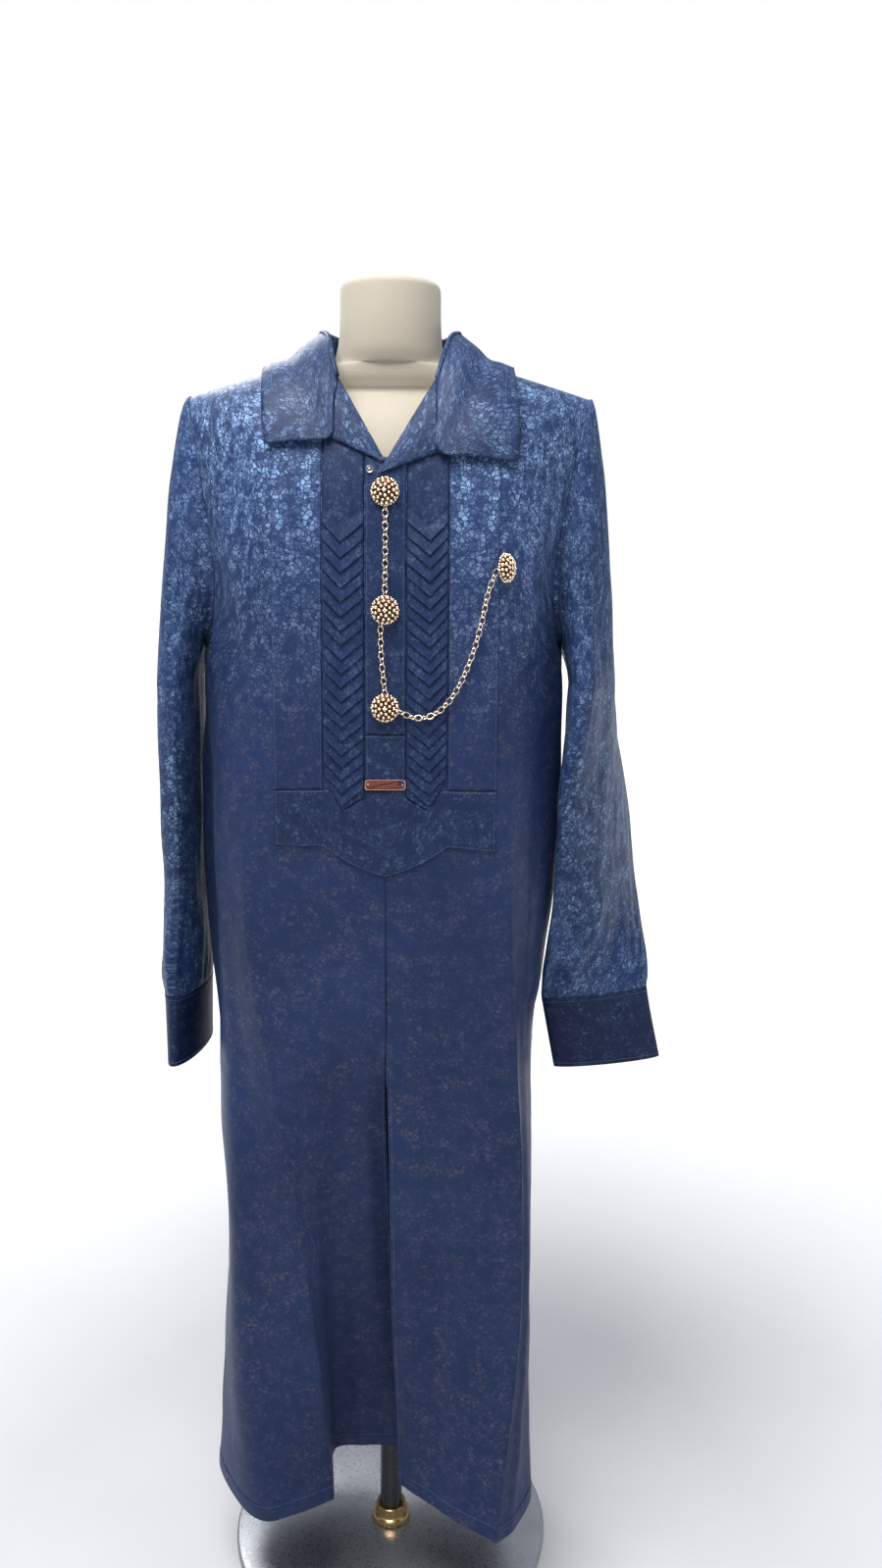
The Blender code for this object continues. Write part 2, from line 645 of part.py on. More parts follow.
def panel_grid(columns, mirrored, trim):
    """Outer and inner grids of one body panel from its column positions."""
    outer = []
    inner = []
    back = columns[-1] > 5.0
    for row in range(LOWER_ROWS + UPPER_ROWS + 1):
        outer_row = []
        inner_row = []
        for column in columns:
            flip = mirrored or column > 8.0
            base = 16.0 - column if column > 8.0 else column
            if row <= LOWER_ROWS:
                place = 16.0 - base if flip else base
                hem = smooth_column(HEM, "place", "z", place)
                level = (hem - ARMPIT_Z) * (1.0 - row / LOWER_ROWS)
                if back:
                    shift = vent_shift(ARMPIT_Z + level, 1 if flip else -1)
                    base += shift * clamp01((7.0 - base) / 2.0)
            else:
                level = upper_level(row - LOWER_ROWS) * neck_top(16.0 - base if flip else base)
                base = panel_place(base, level, back)
            place = 16.0 - base if flip else base
            spot = surface(place, level)
            normal = surface_normal(place, level)
            spot, normal = trim(column, row, spot, normal)
            outer_row.append(spot)
            inner_row.append(spot - normal * CLOTH)
        outer.append(outer_row)
        inner.append(inner_row)
    return outer, inner


def front_trim(side):
    def trim(column, row, spot, normal):
        if column == 0.0 and spot.z > SLIT_TOP_Z:
            spot.x = side * SEAM_GAP / 2.0
            normal.x = 0.0
            normal.normalize()
        if column == 5.0 and row <= LOWER_ROWS:
            spot.y -= SEAM_GAP / 2.0
        if row == LOWER_ROWS + UPPER_ROWS and column >= 2.0:
            spot.y = -SEAM_GAP / 2.0
        return spot, normal
    return trim


def back_trim(column, row, spot, normal):
    if column in (5.0, 11.0) and row <= LOWER_ROWS:
        spot.y += SEAM_GAP / 2.0
    if row == LOWER_ROWS + UPPER_ROWS and not 7.0 < column < 9.0:
        spot.y = SEAM_GAP / 2.0
    return spot, normal


def make_body():
    """Front right, front left and back, split at the side seams, shoulders and slit."""
    outer, inner = panel_grid(FRONT_COLUMNS, False, front_trim(-1.0))
    wall("front_right", outer, inner, BLUE_CLOTH)
    outer, inner = panel_grid(FRONT_COLUMNS, True, front_trim(1.0))
    wall("front_left", outer, inner, BLUE_CLOTH)
    columns = BACK_COLUMNS + tuple(16.0 - c for c in reversed(BACK_COLUMNS[:-1]))
    outer, inner = panel_grid(columns, False, back_trim)
    wall("back", outer, inner, BLUE_CLOTH)


# Sleeves and cuffs

SLEEVE_SIDES = 2 * UPPER_ROWS
CAP_ROWS = 5
HANG_ROWS = 11


def armhole_point(side, angle):
    """Point on the armhole edge and its outward normal; angle 0 at the shoulder."""
    turned = angle % 360.0
    front = turned <= 180.0
    step = round((turned if front else 360.0 - turned) / 180.0 * UPPER_ROWS)
    level = upper_level(UPPER_ROWS - step)
    base = front_edge(level)
    if not front:
        base = 10.0 - base
    place = 16.0 - base if side > 0 else base
    return surface(place, level), surface_normal(place, level)


def hanging_ring(rows, side, angle, z):
    """Point on the hanging part of a sleeve or cuff."""
    def column(name):
        return smooth_column(rows, "z", name, z)

    turn = math.radians(column("turn"))
    a = math.radians(angle)
    out = Vector((math.cos(turn), -math.sin(turn)))
    ahead = Vector((-math.sin(turn), -math.cos(turn)))
    spot = out * (column("short") * math.cos(a)) + ahead * (column("long") * math.sin(a))
    x = column("x") + spot.x
    return Vector((side * x, column("y") + spot.y, z + column("rise") * (x - column("x"))))


def sleeve_grids(rows, folds, side, cuff_top):
    top_z = rows[0].z
    angles = [360.0 * k / SLEEVE_SIDES for k in range(SLEEVE_SIDES)]
    outer = []
    for row in range(CAP_ROWS + HANG_ROWS + 1):
        line = []
        for angle in angles:
            if row < CAP_ROWS:
                share = row / CAP_ROWS
                start, normal = armhole_point(side, angle)
                start = start + normal * (SEAM_GAP + CLOTH)
                end = hanging_ring(rows, side, angle, top_z)
                spot = start.lerp(end, share)
                bulge = SLEEVE_BULGE * math.sin(math.pi * share)
                spot.x += side * bulge * max(0.25, math.cos(math.radians(angle)))
            else:
                share = (row - CAP_ROWS) / HANG_ROWS
                z = mix(top_z, cuff_top + SEAM_GAP, share ** 0.85)
                spot = hanging_ring(rows, side, angle, z)
            line.append(spot)
        outer.append(line)
    normals = grid_normals(outer, tube=True)
    if side > 0:
        normals = [[-n for n in line] for line in normals]
    for row, line in enumerate(outer):
        for k, angle in enumerate(angles):
            if 0 < row < CAP_ROWS + HANG_ROWS:
                rise = fold_shape(folds, angle, line[k].z, 360.0) * clamp01(row / CAP_ROWS)
                line[k] = line[k] + normals[row][k] * rise
    inner = []
    for row, line in enumerate(outer):
        inner_line = []
        for k, angle in enumerate(angles):
            normal = normals[row][k]
            if row == 0:
                normal = armhole_point(side, angle)[1]
            if row == CAP_ROWS + HANG_ROWS:
                normal = Vector((normal.x, normal.y, 0.0)).normalized()
            inner_line.append(line[k] - normal * CLOTH)
        inner.append(inner_line)
    return outer, inner


def cuff_grids(rows, side, cuff_top):
    angles = [360.0 * k / SLEEVE_SIDES for k in range(SLEEVE_SIDES)]
    bottom = rows[-1].z
    outer = []
    for row in range(4):
        z = mix(cuff_top, bottom, row / 3.0)
        outer.append([hanging_ring(rows, side, angle, z) for angle in angles])
    inner = []
    for line, normals in zip(outer, grid_normals(outer, tube=True)):
        inner_line = []
        for spot, normal in zip(line, normals):
            flat = Vector((normal.x, normal.y, 0.0)).normalized()
            if side > 0:
                flat = -flat
            inner_line.append(spot - flat * CLOTH)
        inner.append(inner_line)
    return outer, inner


def make_sleeves():
    for word, rows, folds, side, cuff_top in (
            ("right", SLEEVE_RIGHT, SLEEVE_FOLDS_RIGHT, -1.0, CUFF_TOP_RIGHT),
            ("left", SLEEVE_LEFT, SLEEVE_FOLDS_LEFT, 1.0, CUFF_TOP_LEFT)):
        outer, inner = sleeve_grids(rows, folds, side, cuff_top)
        wall("sleeve_" + word, outer, inner, BLUE_CLOTH, tube=True)
        outer, inner = cuff_grids(rows, side, cuff_top)
        wall("cuff_" + word, outer, inner, BLUE_CLOTH, tube=True)


# Bib pieces: each lies on the fronts and is made from their points, moved out

def overlay(name, columns, bottom, top, rows, rise, thickness, look=BLUE_CLOTH):
    """Wall on the front between two edge functions of x, with an outer relief."""
    outer = []
    inner = []
    for row in range(rows + 1):
        outer_row = []
        inner_row = []
        for x in columns:
            z = mix(bottom(x), top(x), row / rows)
            outer_row.append(front_point(x, z, LAP_GAP + thickness + rise))
            inner_row.append(front_point(x, z, LAP_GAP))
        outer.append(outer_row)
        inner.append(inner_row)
    return wall(name, outer, inner, look)


def between(x, x0, z0, x1, z1):
    return z0 + (z1 - z0) * clamp01((x - x0) / (x1 - x0))


def pleat_bottom(distance):
    """Lower end of a pleated panel: a slanting cut with its point near the middle."""
    if distance >= PLEAT_APEX:
        return between(distance, PLEAT_APEX, PLEAT_POINT_Z, PLEAT_OUTER, PLEAT_OUTER_Z)
    return between(distance, PLEAT_INNER, PLEAT_INNER_Z, PLEAT_APEX, PLEAT_POINT_Z)


def lapel_edge(side, distance):
    """Lower edge of lapel and collar leaf above a point of the bib."""
    peak = LAPEL_PEAK[side]
    point = COLLAR_POINT[side]
    if distance <= peak[0]:
        return between(distance, 0.002, V_BOTTOM_Z - 0.001, peak[0], peak[1])
    return between(distance, peak[0], peak[1], point[0], point[1])


def chevron(distance):
    """Fall of a tuck below its ends: nothing at the panel's edges, most at the point."""
    if distance < PLEAT_APEX:
        return TUCK_DROP * clamp01((distance - PLEAT_INNER) / (PLEAT_APEX - PLEAT_INNER))
    return TUCK_DROP * clamp01((PLEAT_OUTER - distance) / (PLEAT_OUTER - PLEAT_APEX))


def pleated_panel(name, side, tucks, pitch_top, pitch_bottom):
    """Panel of overlapping tucks in points; each tuck ends in a raised lower edge."""
    distances = (PLEAT_INNER, (PLEAT_INNER + PLEAT_APEX) / 2.0, PLEAT_APEX,
                 (PLEAT_APEX + PLEAT_OUTER) / 2.0, PLEAT_OUTER)
    plain = (0.0, 0.34, 0.67)
    marks = [(None, 0.0) for _ in plain]
    drop = 0.0
    for tuck in range(tucks):
        marks.append((drop, TUCK_RISE))
        marks.append((drop + 0.0009, 0.0))
        drop += mix(pitch_top, pitch_bottom, tuck / (tucks - 1))
    marks.append((None, TUCK_RISE * 0.5))
    outer = []
    inner = []
    for mark, (depth, rise) in enumerate(marks):
        outer_row = []
        inner_row = []
        for distance in distances:
            floor = pleat_bottom(distance)
            ceiling = lapel_edge(side, distance) - SEAM_GAP * 2.0
            if mark < len(plain):
                z = mix(ceiling, FIRST_TUCK_Z - chevron(distance), plain[mark])
            elif depth is None:
                z = floor
            else:
                z = max(FIRST_TUCK_Z - depth - chevron(distance), floor + 0.0008 * (len(marks) - mark))
            lift = LAP_GAP + OVERLAY_CLOTH + rise
            outer_row.append(front_point(side * distance, z, lift))
            inner_row.append(front_point(side * distance, z, LAP_GAP))
        outer.append(outer_row)
        inner.append(inner_row)
    return wall(name, outer, inner, BLUE_CLOTH)


def band_top(x):
    distance = abs(x)
    if distance >= PLEAT_OUTER:
        return BAND_TOP_Z
    if distance > PLACKET_HALF:
        return min(BAND_TOP_Z, pleat_bottom(max(distance, PLEAT_INNER)) - SEAM_GAP)
    return BAR_Z - BAR_SIZE[1] / 2.0 - SEAM_GAP


def band_bottom(x):
    distance = abs(x)
    corner = BAND_CORNER_Z[math.copysign(1.0, x)]
    if distance > BAND_SHOULDER_X:
        return between(distance, BAND_SHOULDER_X, BAND_SHOULDER_Z, BIB_HALF, corner)
    straight = between(distance, 0.0, BAND_POINT_Z, BAND_SHOULDER_X, BAND_SHOULDER_Z)
    return straight - BAND_SWAY * math.sin(math.pi * distance / BAND_SHOULDER_X)


def make_bib():
    """Pointed band, bib strips, pleated panels and placket."""
    half = (0.0, 0.0092, PLACKET_HALF - 0.0002, PLACKET_HALF + 0.0002, 0.030, PLEAT_APEX, 0.0503,
            PLEAT_OUTER, PLEAT_OUTER + 0.0008, 0.083, BIB_HALF)
    columns = [-x for x in reversed(half[1:])] + list(half)
    overlay("band", columns, band_bottom, band_top, 4, 0.0, OVERLAY_CLOTH)
    for word, side in (("right", -1.0), ("left", 1.0)):
        inner_x = PLEAT_OUTER + 0.0006
        strip = (inner_x, (inner_x + BIB_HALF) / 2.0, BIB_HALF)
        overlay("bib_" + word, [side * x for x in strip], lambda x: BAND_TOP_Z + SEAM_GAP,
                lambda x, s=side: lapel_edge(s, abs(x)) - 2.0 * SEAM_GAP, 12, 0.0, OVERLAY_CLOTH)
    pleated_panel("pleats_right", -1.0, 22, 0.0140, 0.0118)
    pleated_panel("pleats_left", 1.0, 24, 0.0125, 0.0110)
    columns = (-PLACKET_HALF, -PLACKET_HALF / 2.0, 0.0, PLACKET_HALF / 2.0, PLACKET_HALF)
    overlay("placket", columns, lambda x: PLACKET_SEAM_Z + SEAM_GAP,
            lambda x: V_BOTTOM_Z - 0.0030, 12, 0.0004, OVERLAY_CLOTH)
    overlay("placket_foot", columns, lambda x: BAR_Z + BAR_SIZE[1] / 2.0 + SEAM_GAP,
            lambda x: PLACKET_SEAM_Z, 3, 0.0, OVERLAY_CLOTH)


# Collar and lapels

def neckline(side, share):
    """Neckline point, normal and shoulder angle: share 0 at the gorge, 1 at the centre back."""
    corner = 0.5
    behind = share > corner
    if behind:
        place = mix(7.0, 8.0, (share - corner) / (1.0 - corner))
    else:
        place = mix(V_TOP_PLACE, 2.0, share / corner)
    if side > 0:
        place = 16.0 - place
    level = neck_top(place)
    angle = level_angle(level)
    return surface(place, level), surface_normal(place, level), 180.0 - angle if behind else angle


def collar_station(side, share):
    """Outer skin of the collar at one station, neck seam to free edge."""
    rows = COLLAR_RIGHT if side < 0 else COLLAR_LEFT

    def column(name):
        return smooth_column(rows, "place", name, share)

    roll = ROLL_RADIUS
    base, normal, angle = neckline(side, share)
    upright = normal.lerp(Vector((0.0, 0.0, 1.0)), ease(share / 0.35)).normalized()
    mid = draped_point(side * column("mid_x"), column("mid_angle"), LEAF_LIFT[0])
    away = mid - base
    away -= upright * away.dot(upright)
    away.normalize()
    foot = base + normal * LAP_GAP
    stand = column("stand")
    shape = ((0.0, 0.0), (stand - roll, 0.0), (stand - 0.3 * roll, 0.3 * roll), (stand, roll),
             (stand - 0.3 * roll, 1.7 * roll), (stand - roll, 2.0 * roll))
    points = [foot + upright * rise + away * out for rise, out in shape]
    points.append(draped_point(mix(base.x, side * column("mid_x"), 0.55),
                               mix(angle, column("mid_angle"), 0.55),
                               mix(stand, LEAF_LIFT[0], 0.55)))
    points.append(mid)
    points.append(draped_point(side * mix(column("mid_x"), column("outer_x"), 0.5),
                               mix(column("mid_angle"), column("outer_angle"), 0.5), LEAF_LIFT[0]))
    points.append(draped_point(side * column("outer_x"), column("outer_angle"), LEAF_LIFT[1]))
    return points


def make_collar():
    """Camp collar in one piece round the neck, and the two turned-back lapels."""
    skin = [collar_station(-1.0, share) for share in COLLAR_STATIONS]
    skin += [collar_station(1.0, share) for share in reversed(COLLAR_STATIONS[:-1])]
    normals = grid_normals(skin)
    inner = [[p + n * OVERLAY_CLOTH for p, n in zip(line, ns)] for line, ns in zip(skin, normals)]
    wall("collar", skin, inner, BLUE_CLOTH)
    for word, side in (("right", -1.0), ("left", 1.0)):
        peak = LAPEL_PEAK[side]
        outer = []
        inner = []
        for step in range(7):
            share = step / 6.0
            outer_row = []
            inner_row = []
            for part in range(4):
                across = part / 3.0
                roll_x = mix(0.0006, V_TOP[0] - 0.0012, share)
                roll_z = v_line(roll_x) - 0.0004
                low_x = mix(0.0026, peak[0] - 0.0010, share)
                low_z = mix(V_BOTTOM_Z - 0.0010, peak[1], share)
                x = mix(roll_x, low_x, across)
                z = mix(roll_z, low_z, across)
                lift = mix(LAPEL_LIFT[0], LAPEL_LIFT[1], ease(across * 1.5))
                outer_row.append(front_point(side * x, z, lift))
                inner_row.append(front_point(side * x, z, lift - OVERLAY_CLOTH))
            outer.append(outer_row)
            inner.append(inner_row)
        wall("lapel_" + word, outer, inner, BLUE_CLOTH)


# Studs, chain, snap and bar

def seat(x, z, lift, turn=0.0):
    """Placing of a small fitting: its own +Z points away from the cloth."""
    spot = front_point(x, z, lift)
    right = front_point(x + 0.004, z, lift) - front_point(x - 0.004, z, lift)
    right.normalize()
    up = front_point(x, z + 0.004, lift) - front_point(x, z - 0.004, lift)
    up = (up - right * up.dot(right)).normalized()
    out = right.cross(up)
    frame = Matrix((right, up, out)).transposed().to_4x4()
    return Matrix.Translation(spot) @ frame @ Matrix.Rotation(math.radians(turn), 4, "Y")


def make_stud(name):
    """Domed stud with a flat back, 27 mm across."""
    back = STUD_RADIUS * 0.80
    rings = [(0.0, back, back), (STUD_RIM, STUD_RADIUS, STUD_RADIUS)]
    for step in range(1, 5):
        angle = math.radians(step * 20.0)
        radius = STUD_RADIUS * math.cos(angle)
        rings.append((mix(STUD_RIM, STUD_HEIGHT, math.sin(angle)), radius, radius))
    return lathe(name, rings, STUD_METAL, segments=20)


def make_chain(name, points, lift):
    """Chain kept as a plain round run of its own thickness."""
    curve = bpy.data.curves.new(name, "CURVE")
    curve.dimensions = "3D"
    curve.bevel_depth = CHAIN_RADIUS
    curve.bevel_resolution = 1
    curve.use_fill_caps = True
    line = curve.splines.new("POLY")
    line.points.add(len(points) - 1)
    for knot, (x, z) in zip(line.points, points):
        spot = front_point(x, z, lift)
        knot.co = (spot.x, spot.y, spot.z, 1.0)
    curve.materials.append(material(name + "_material", STUD_METAL))
    made = bpy.data.objects.new(name, curve)
    bpy.context.scene.collection.objects.link(made)
    made.parent = bpy.data.objects["kaftan_on_form"]


def smooth_route(points, count):
    """Even points along a smooth curve through the route's own points."""
    vectors = [Vector((x, 0.0, z)) for x, z in points]
    route = []
    for step in range(count + 1):
        t = step / count * (len(vectors) - 1)
        i = min(int(t), len(vectors) - 2)
        f = t - i
        a = vectors[max(i - 1, 0)]
        b = vectors[i]
        c = vectors[i + 1]
        d = vectors[min(i + 2, len(vectors) - 1)]
        spot = 0.5 * (2.0 * b + (c - a) * f + (2.0 * a - 5.0 * b + 4.0 * c - d) * f * f
                      + (3.0 * b - a - 3.0 * c + d) * f * f * f)
        route.append((spot.x, spot.z))
    return route


def make_fittings():
    stud_lift = LAP_GAP + OVERLAY_CLOTH + 0.0004 + 0.0003
    for number, z in enumerate(STUD_HEIGHTS, start=1):
        make_stud(f"stud_{number}").matrix_world = seat(0.0, z, stud_lift)
    x, z = PINNED_STUD
    make_stud("stud_4").matrix_world = seat(x, z, PINNED_STUD_LIFT, PINNED_STUD_TURN)
    reach = STUD_RADIUS + 0.0003
    chain_lift = stud_lift + CHAIN_RADIUS
    first = [(0.0, STUD_HEIGHTS[0] - reach), (0.0003, 1.126), (0.0, STUD_HEIGHTS[1] + reach)]
    make_chain("chain_1", smooth_route(first, 12), chain_lift)
    second = [(-0.0020, STUD_HEIGHTS[1] - reach), (-0.0034, 1.030), (0.0, STUD_HEIGHTS[2] + reach)]
    make_chain("chain_2", smooth_route(second, 12), chain_lift)
    make_chain("chain_3", smooth_route(SWAG, 30), CHAIN_LIFT)
    snap = lathe("collar_snap", [(0.0, 0.0030, 0.0030), (0.0008, 0.0036, 0.0036),
                                 (0.0018, 0.0024, 0.0024)], SNAP_METAL, segments=16)
    snap.matrix_world = seat(SNAP_PLACE[0], SNAP_PLACE[1], stud_lift)
    make_bar()


def make_bar():
    """Plain end bar of the placket, with a rivet head at each end."""
    width, height, depth = BAR_SIZE
    bar = bmesh.new()
    bmesh.ops.create_cube(bar, size=1.0)
    bmesh.ops.scale(bar, vec=(width, height, depth), verts=bar.verts)
    bmesh.ops.translate(bar, vec=(0.0, 0.0, depth / 2.0), verts=bar.verts)
    uprights = [e for e in bar.edges if abs(e.verts[0].co.z - e.verts[1].co.z) > depth / 2.0]
    bmesh.ops.bevel(bar, geom=uprights, offset=0.0012, segments=3, affect="EDGES")
    mesh = bpy.data.meshes.new("end_bar")
    bar.to_mesh(mesh)
    bar.free()
    made = place_object("end_bar", mesh, BAR_METAL, smooth=False)
    made.matrix_world = seat(0.0, BAR_Z, LAP_GAP)


# Dress form and stand

def make_form():
    """Smooth closed torso with a plain neck, in one piece."""
    rings = [(row.z, row.half_width, row.half_depth) for row in TORSO]
    slope = (NECK_Z - SHOULDER_Z) / (SHOULDER_X - NECK_X)
    drop = CLOTH / math.cos(math.atan(slope)) + 0.0005
    for row in RIDGE:
        rings.append((shoulder_z(row.half_width) - drop - row.sink, row.half_width, row.half_depth))
    shoulder_end = rings[len(TORSO) - 1]
    rings[len(TORSO) - 1] = (shoulder_z(shoulder_end[1]) - drop, shoulder_end[1], shoulder_end[2])
    rings.append((NECK_Z + 0.010, NECK_RADII[0], NECK_RADII[1]))
    rings.append((NECK_TOP_Z - 0.004, NECK_RADII[0], NECK_RADII[1]))
    rings.append((NECK_TOP_Z, NECK_RADII[0] - 0.004, NECK_RADII[1] - 0.004))
    lathe("form_torso", rings, CREAM_CLOTH, segments=28)


def make_stand():
    top = BASE_HEIGHT
    lathe("base_plate", [(0.0, BASE_RADIUS, BASE_RADIUS), (top - 0.002, BASE_RADIUS, BASE_RADIUS),
                         (top - 0.0006, BASE_RADIUS - 0.0006, BASE_RADIUS - 0.0006),
                         (top, BASE_RADIUS - 0.002, BASE_RADIUS - 0.002)], BASE_METAL, segments=48)
    lathe("stand_pole", [(top + 0.0003, POLE_RADIUS, POLE_RADIUS),
                         (FORM_BOTTOM_Z - 0.0003, POLE_RADIUS, POLE_RADIUS)], POLE_METAL, segments=28)
    solid = bmesh.new()
    segments = 28
    loops = []
    for radius, z in SOCKET_PROFILE:
        loops.append([solid.verts.new((radius * math.cos(2.0 * math.pi * k / segments),
                                       radius * math.sin(2.0 * math.pi * k / segments),
                                       top + z)) for k in range(segments)])
    for low, high in zip(loops, loops[1:] + loops[:1]):
        for k in range(segments):
            n = (k + 1) % segments
            solid.faces.new((low[k], low[n], high[n], high[k]))
    place_object("pole_socket", finished_mesh("pole_socket", solid), SOCKET_METAL)


def main():
    for old in list(bpy.data.objects):
        bpy.data.objects.remove(old, do_unlink=True)
    root = bpy.data.objects.new("kaftan_on_form", None)
    bpy.context.scene.collection.objects.link(root)
    make_stand()
    make_form()
    make_body()
    make_sleeves()
    make_bib()
    make_collar()
    make_fittings()


main()
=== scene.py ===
import math
from collections import namedtuple

import bmesh
import bpy
import numpy as np
from mathutils import Matrix, Vector


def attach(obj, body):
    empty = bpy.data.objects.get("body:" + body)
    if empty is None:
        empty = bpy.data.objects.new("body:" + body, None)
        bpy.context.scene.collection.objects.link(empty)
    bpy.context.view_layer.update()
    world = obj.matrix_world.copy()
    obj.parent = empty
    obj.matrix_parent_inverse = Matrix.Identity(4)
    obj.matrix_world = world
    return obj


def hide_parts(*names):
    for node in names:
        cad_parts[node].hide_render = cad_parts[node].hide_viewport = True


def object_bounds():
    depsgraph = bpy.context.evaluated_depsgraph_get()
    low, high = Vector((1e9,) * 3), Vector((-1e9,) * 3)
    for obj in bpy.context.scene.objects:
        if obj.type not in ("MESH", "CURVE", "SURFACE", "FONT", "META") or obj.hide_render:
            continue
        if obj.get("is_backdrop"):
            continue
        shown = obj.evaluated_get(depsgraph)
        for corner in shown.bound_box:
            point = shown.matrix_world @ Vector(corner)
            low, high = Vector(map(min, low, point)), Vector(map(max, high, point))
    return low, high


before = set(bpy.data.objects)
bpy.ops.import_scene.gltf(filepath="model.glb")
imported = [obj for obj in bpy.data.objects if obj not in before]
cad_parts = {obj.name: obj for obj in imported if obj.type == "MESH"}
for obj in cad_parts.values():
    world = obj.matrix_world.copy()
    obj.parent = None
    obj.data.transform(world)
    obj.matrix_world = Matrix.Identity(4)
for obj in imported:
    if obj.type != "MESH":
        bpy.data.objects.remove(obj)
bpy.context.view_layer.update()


# Stand: a round steel plate, a dark lacquered pole and the brass ring that clamps the pole in
# the plate's middle. All three are turned parts, so each is a profile spun round the pole's axis.

POLE_RADIUS = 0.0125
POLE_TOP_Z = 0.5997
BASE_RADIUS = 0.180
BASE_HEIGHT = 0.008
SOCKET_PROFILE = (
    (0.0003, 0.0129), (0.0003, 0.0211), (0.0006, 0.0215), (0.0020, 0.0225), (0.0060, 0.0225),
    (0.0072, 0.0219), (0.0090, 0.0186), (0.0110, 0.0178), (0.0180, 0.0174), (0.0194, 0.0171),
    (0.0200, 0.0163), (0.0200, 0.0129))


def plain_material(name, color, roughness, metallic=0.0):
    """Material with its shader and its node tree's makers."""
    made = bpy.data.materials.new(name)
    made.use_nodes = True
    tree = made.node_tree
    shader = tree.nodes["Principled BSDF"]
    shader.inputs["Base Color"].default_value = (*color, 1.0)
    shader.inputs["Roughness"].default_value = roughness
    shader.inputs["Metallic"].default_value = metallic
    made.diffuse_color = (*color, 1.0)
    return made, tree, shader


def add_node(tree, kind, inputs=None, **settings):
    """New node with its settings and unlinked inputs filled in; a socket as input is linked."""
    node = tree.nodes.new(kind)
    for key, value in settings.items():
        setattr(node, key, value)
    for key, value in (inputs or {}).items():
        if isinstance(value, bpy.types.NodeSocket):
            tree.links.new(value, node.inputs[key])
        else:
            node.inputs[key].default_value = value
    return node


def spread(tree, value, low, high, out_low=0.0, out_high=1.0):
    """A value's stretch from low to high, mapped to another one."""
    node = add_node(tree, "ShaderNodeMapRange", {
        "Value": value, "From Min": low, "From Max": high, "To Min": out_low, "To Max": out_high})
    return node.outputs["Result"]


def blend_colors(tree, share, first, second):
    node = add_node(tree, "ShaderNodeMix", data_type="RGBA")
    for number, value in ((0, share), (6, first), (7, second)):
        socket = node.inputs[number]
        if isinstance(value, bpy.types.NodeSocket):
            tree.links.new(value, socket)
        else:
            socket.default_value = value
    return node.outputs[2]


def noise(tree, vector, scale, detail, output="Fac"):
    return add_node(tree, "ShaderNodeTexNoise", {
        "Vector": vector, "Scale": scale, "Detail": detail}).outputs[output]


def compute(tree, operation, *values):
    """Result of a math node on sockets and numbers."""
    return add_node(tree, "ShaderNodeMath", dict(enumerate(values)), operation=operation).outputs[0]


def add_relief(tree, shader, height, distance, strength):
    bump = add_node(tree, "ShaderNodeBump", {
        "Height": height, "Distance": distance, "Strength": strength})
    tree.links.new(bump.outputs["Normal"], shader.inputs["Normal"])


def worn_finish(name, color, other, roughness, metallic, scale, relief):
    """Surface whose colour, gloss and fine relief wander a little, on object coordinates."""
    made, tree, shader = plain_material(name, color, roughness, metallic)
    spot = add_node(tree, "ShaderNodeTexCoord").outputs["Object"]
    share = spread(tree, noise(tree, spot, scale, 4.0), 0.35, 0.65)
    fine = noise(tree, spot, scale * 9.0, 3.0)
    tree.links.new(blend_colors(tree, share, (*color, 1.0), (*other, 1.0)),
                   shader.inputs["Base Color"])
    tree.links.new(spread(tree, fine, 0.3, 0.7, roughness * 0.8, roughness * 1.25),
                   shader.inputs["Roughness"])
    add_relief(tree, shader, fine, relief, 0.6)
    return made


def placed(name, data):
    """New object in the scene, at the origin."""
    made = bpy.data.objects.new(name, data)
    bpy.context.scene.collection.objects.link(made)
    return made


def new_piece(name, mesh, material, slot, *nodes):
    """Finished piece that rides on the one body and stands for its CAD nodes."""
    slots = [face.material_index for face in mesh.polygons]
    mesh.materials.clear()
    mesh.materials.append(material)
    mesh.polygons.foreach_set("material_index", slots)
    piece = placed(name, mesh)
    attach(piece, "root")
    if nodes:
        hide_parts(*nodes)
    return piece


def turned(name, rings, segments=96, ring_shape=False):
    """Turned mesh from rings of z, x radius and y radius; a ring shape closes on itself."""
    solid = bmesh.new()
    loops = []
    for z, rx, ry in rings:
        loops.append([solid.verts.new((rx * math.cos(2.0 * math.pi * k / segments),
                                       ry * math.sin(2.0 * math.pi * k / segments), z))
                      for k in range(segments)])
    pairs = list(zip(loops, loops[1:]))
    if ring_shape:
        pairs.append((loops[-1], loops[0]))
    else:
        solid.faces.new(loops[0])
        solid.faces.new(loops[-1])
    for low, high in pairs:
        for k in range(segments):
            n = (k + 1) % segments
            solid.faces.new((low[k], low[n], high[n], high[k]))
    bmesh.ops.recalc_face_normals(solid, faces=solid.faces)
    if solid.calc_volume(signed=True) < 0.0:
        bmesh.ops.reverse_faces(solid, faces=solid.faces)
    mesh = bpy.data.meshes.new(name)
    solid.to_mesh(mesh)
    solid.free()
    mesh.shade_smooth()
    mesh.set_sharp_from_angle(angle=math.radians(35))
    return mesh


pole_lacquer = worn_finish("pole_lacquer", (0.030, 0.031, 0.034), (0.045, 0.046, 0.050), 0.22, 0.3,
                           30.0, 0.00002)
pole_lacquer.node_tree.nodes["Principled BSDF"].inputs["Coat Weight"].default_value = 0.6
new_piece("pole", turned("pole", (
    (BASE_HEIGHT + 0.0003, POLE_RADIUS, POLE_RADIUS), (POLE_TOP_Z, POLE_RADIUS, POLE_RADIUS)), 48),
    pole_lacquer, "pole_metal", "stand_pole")

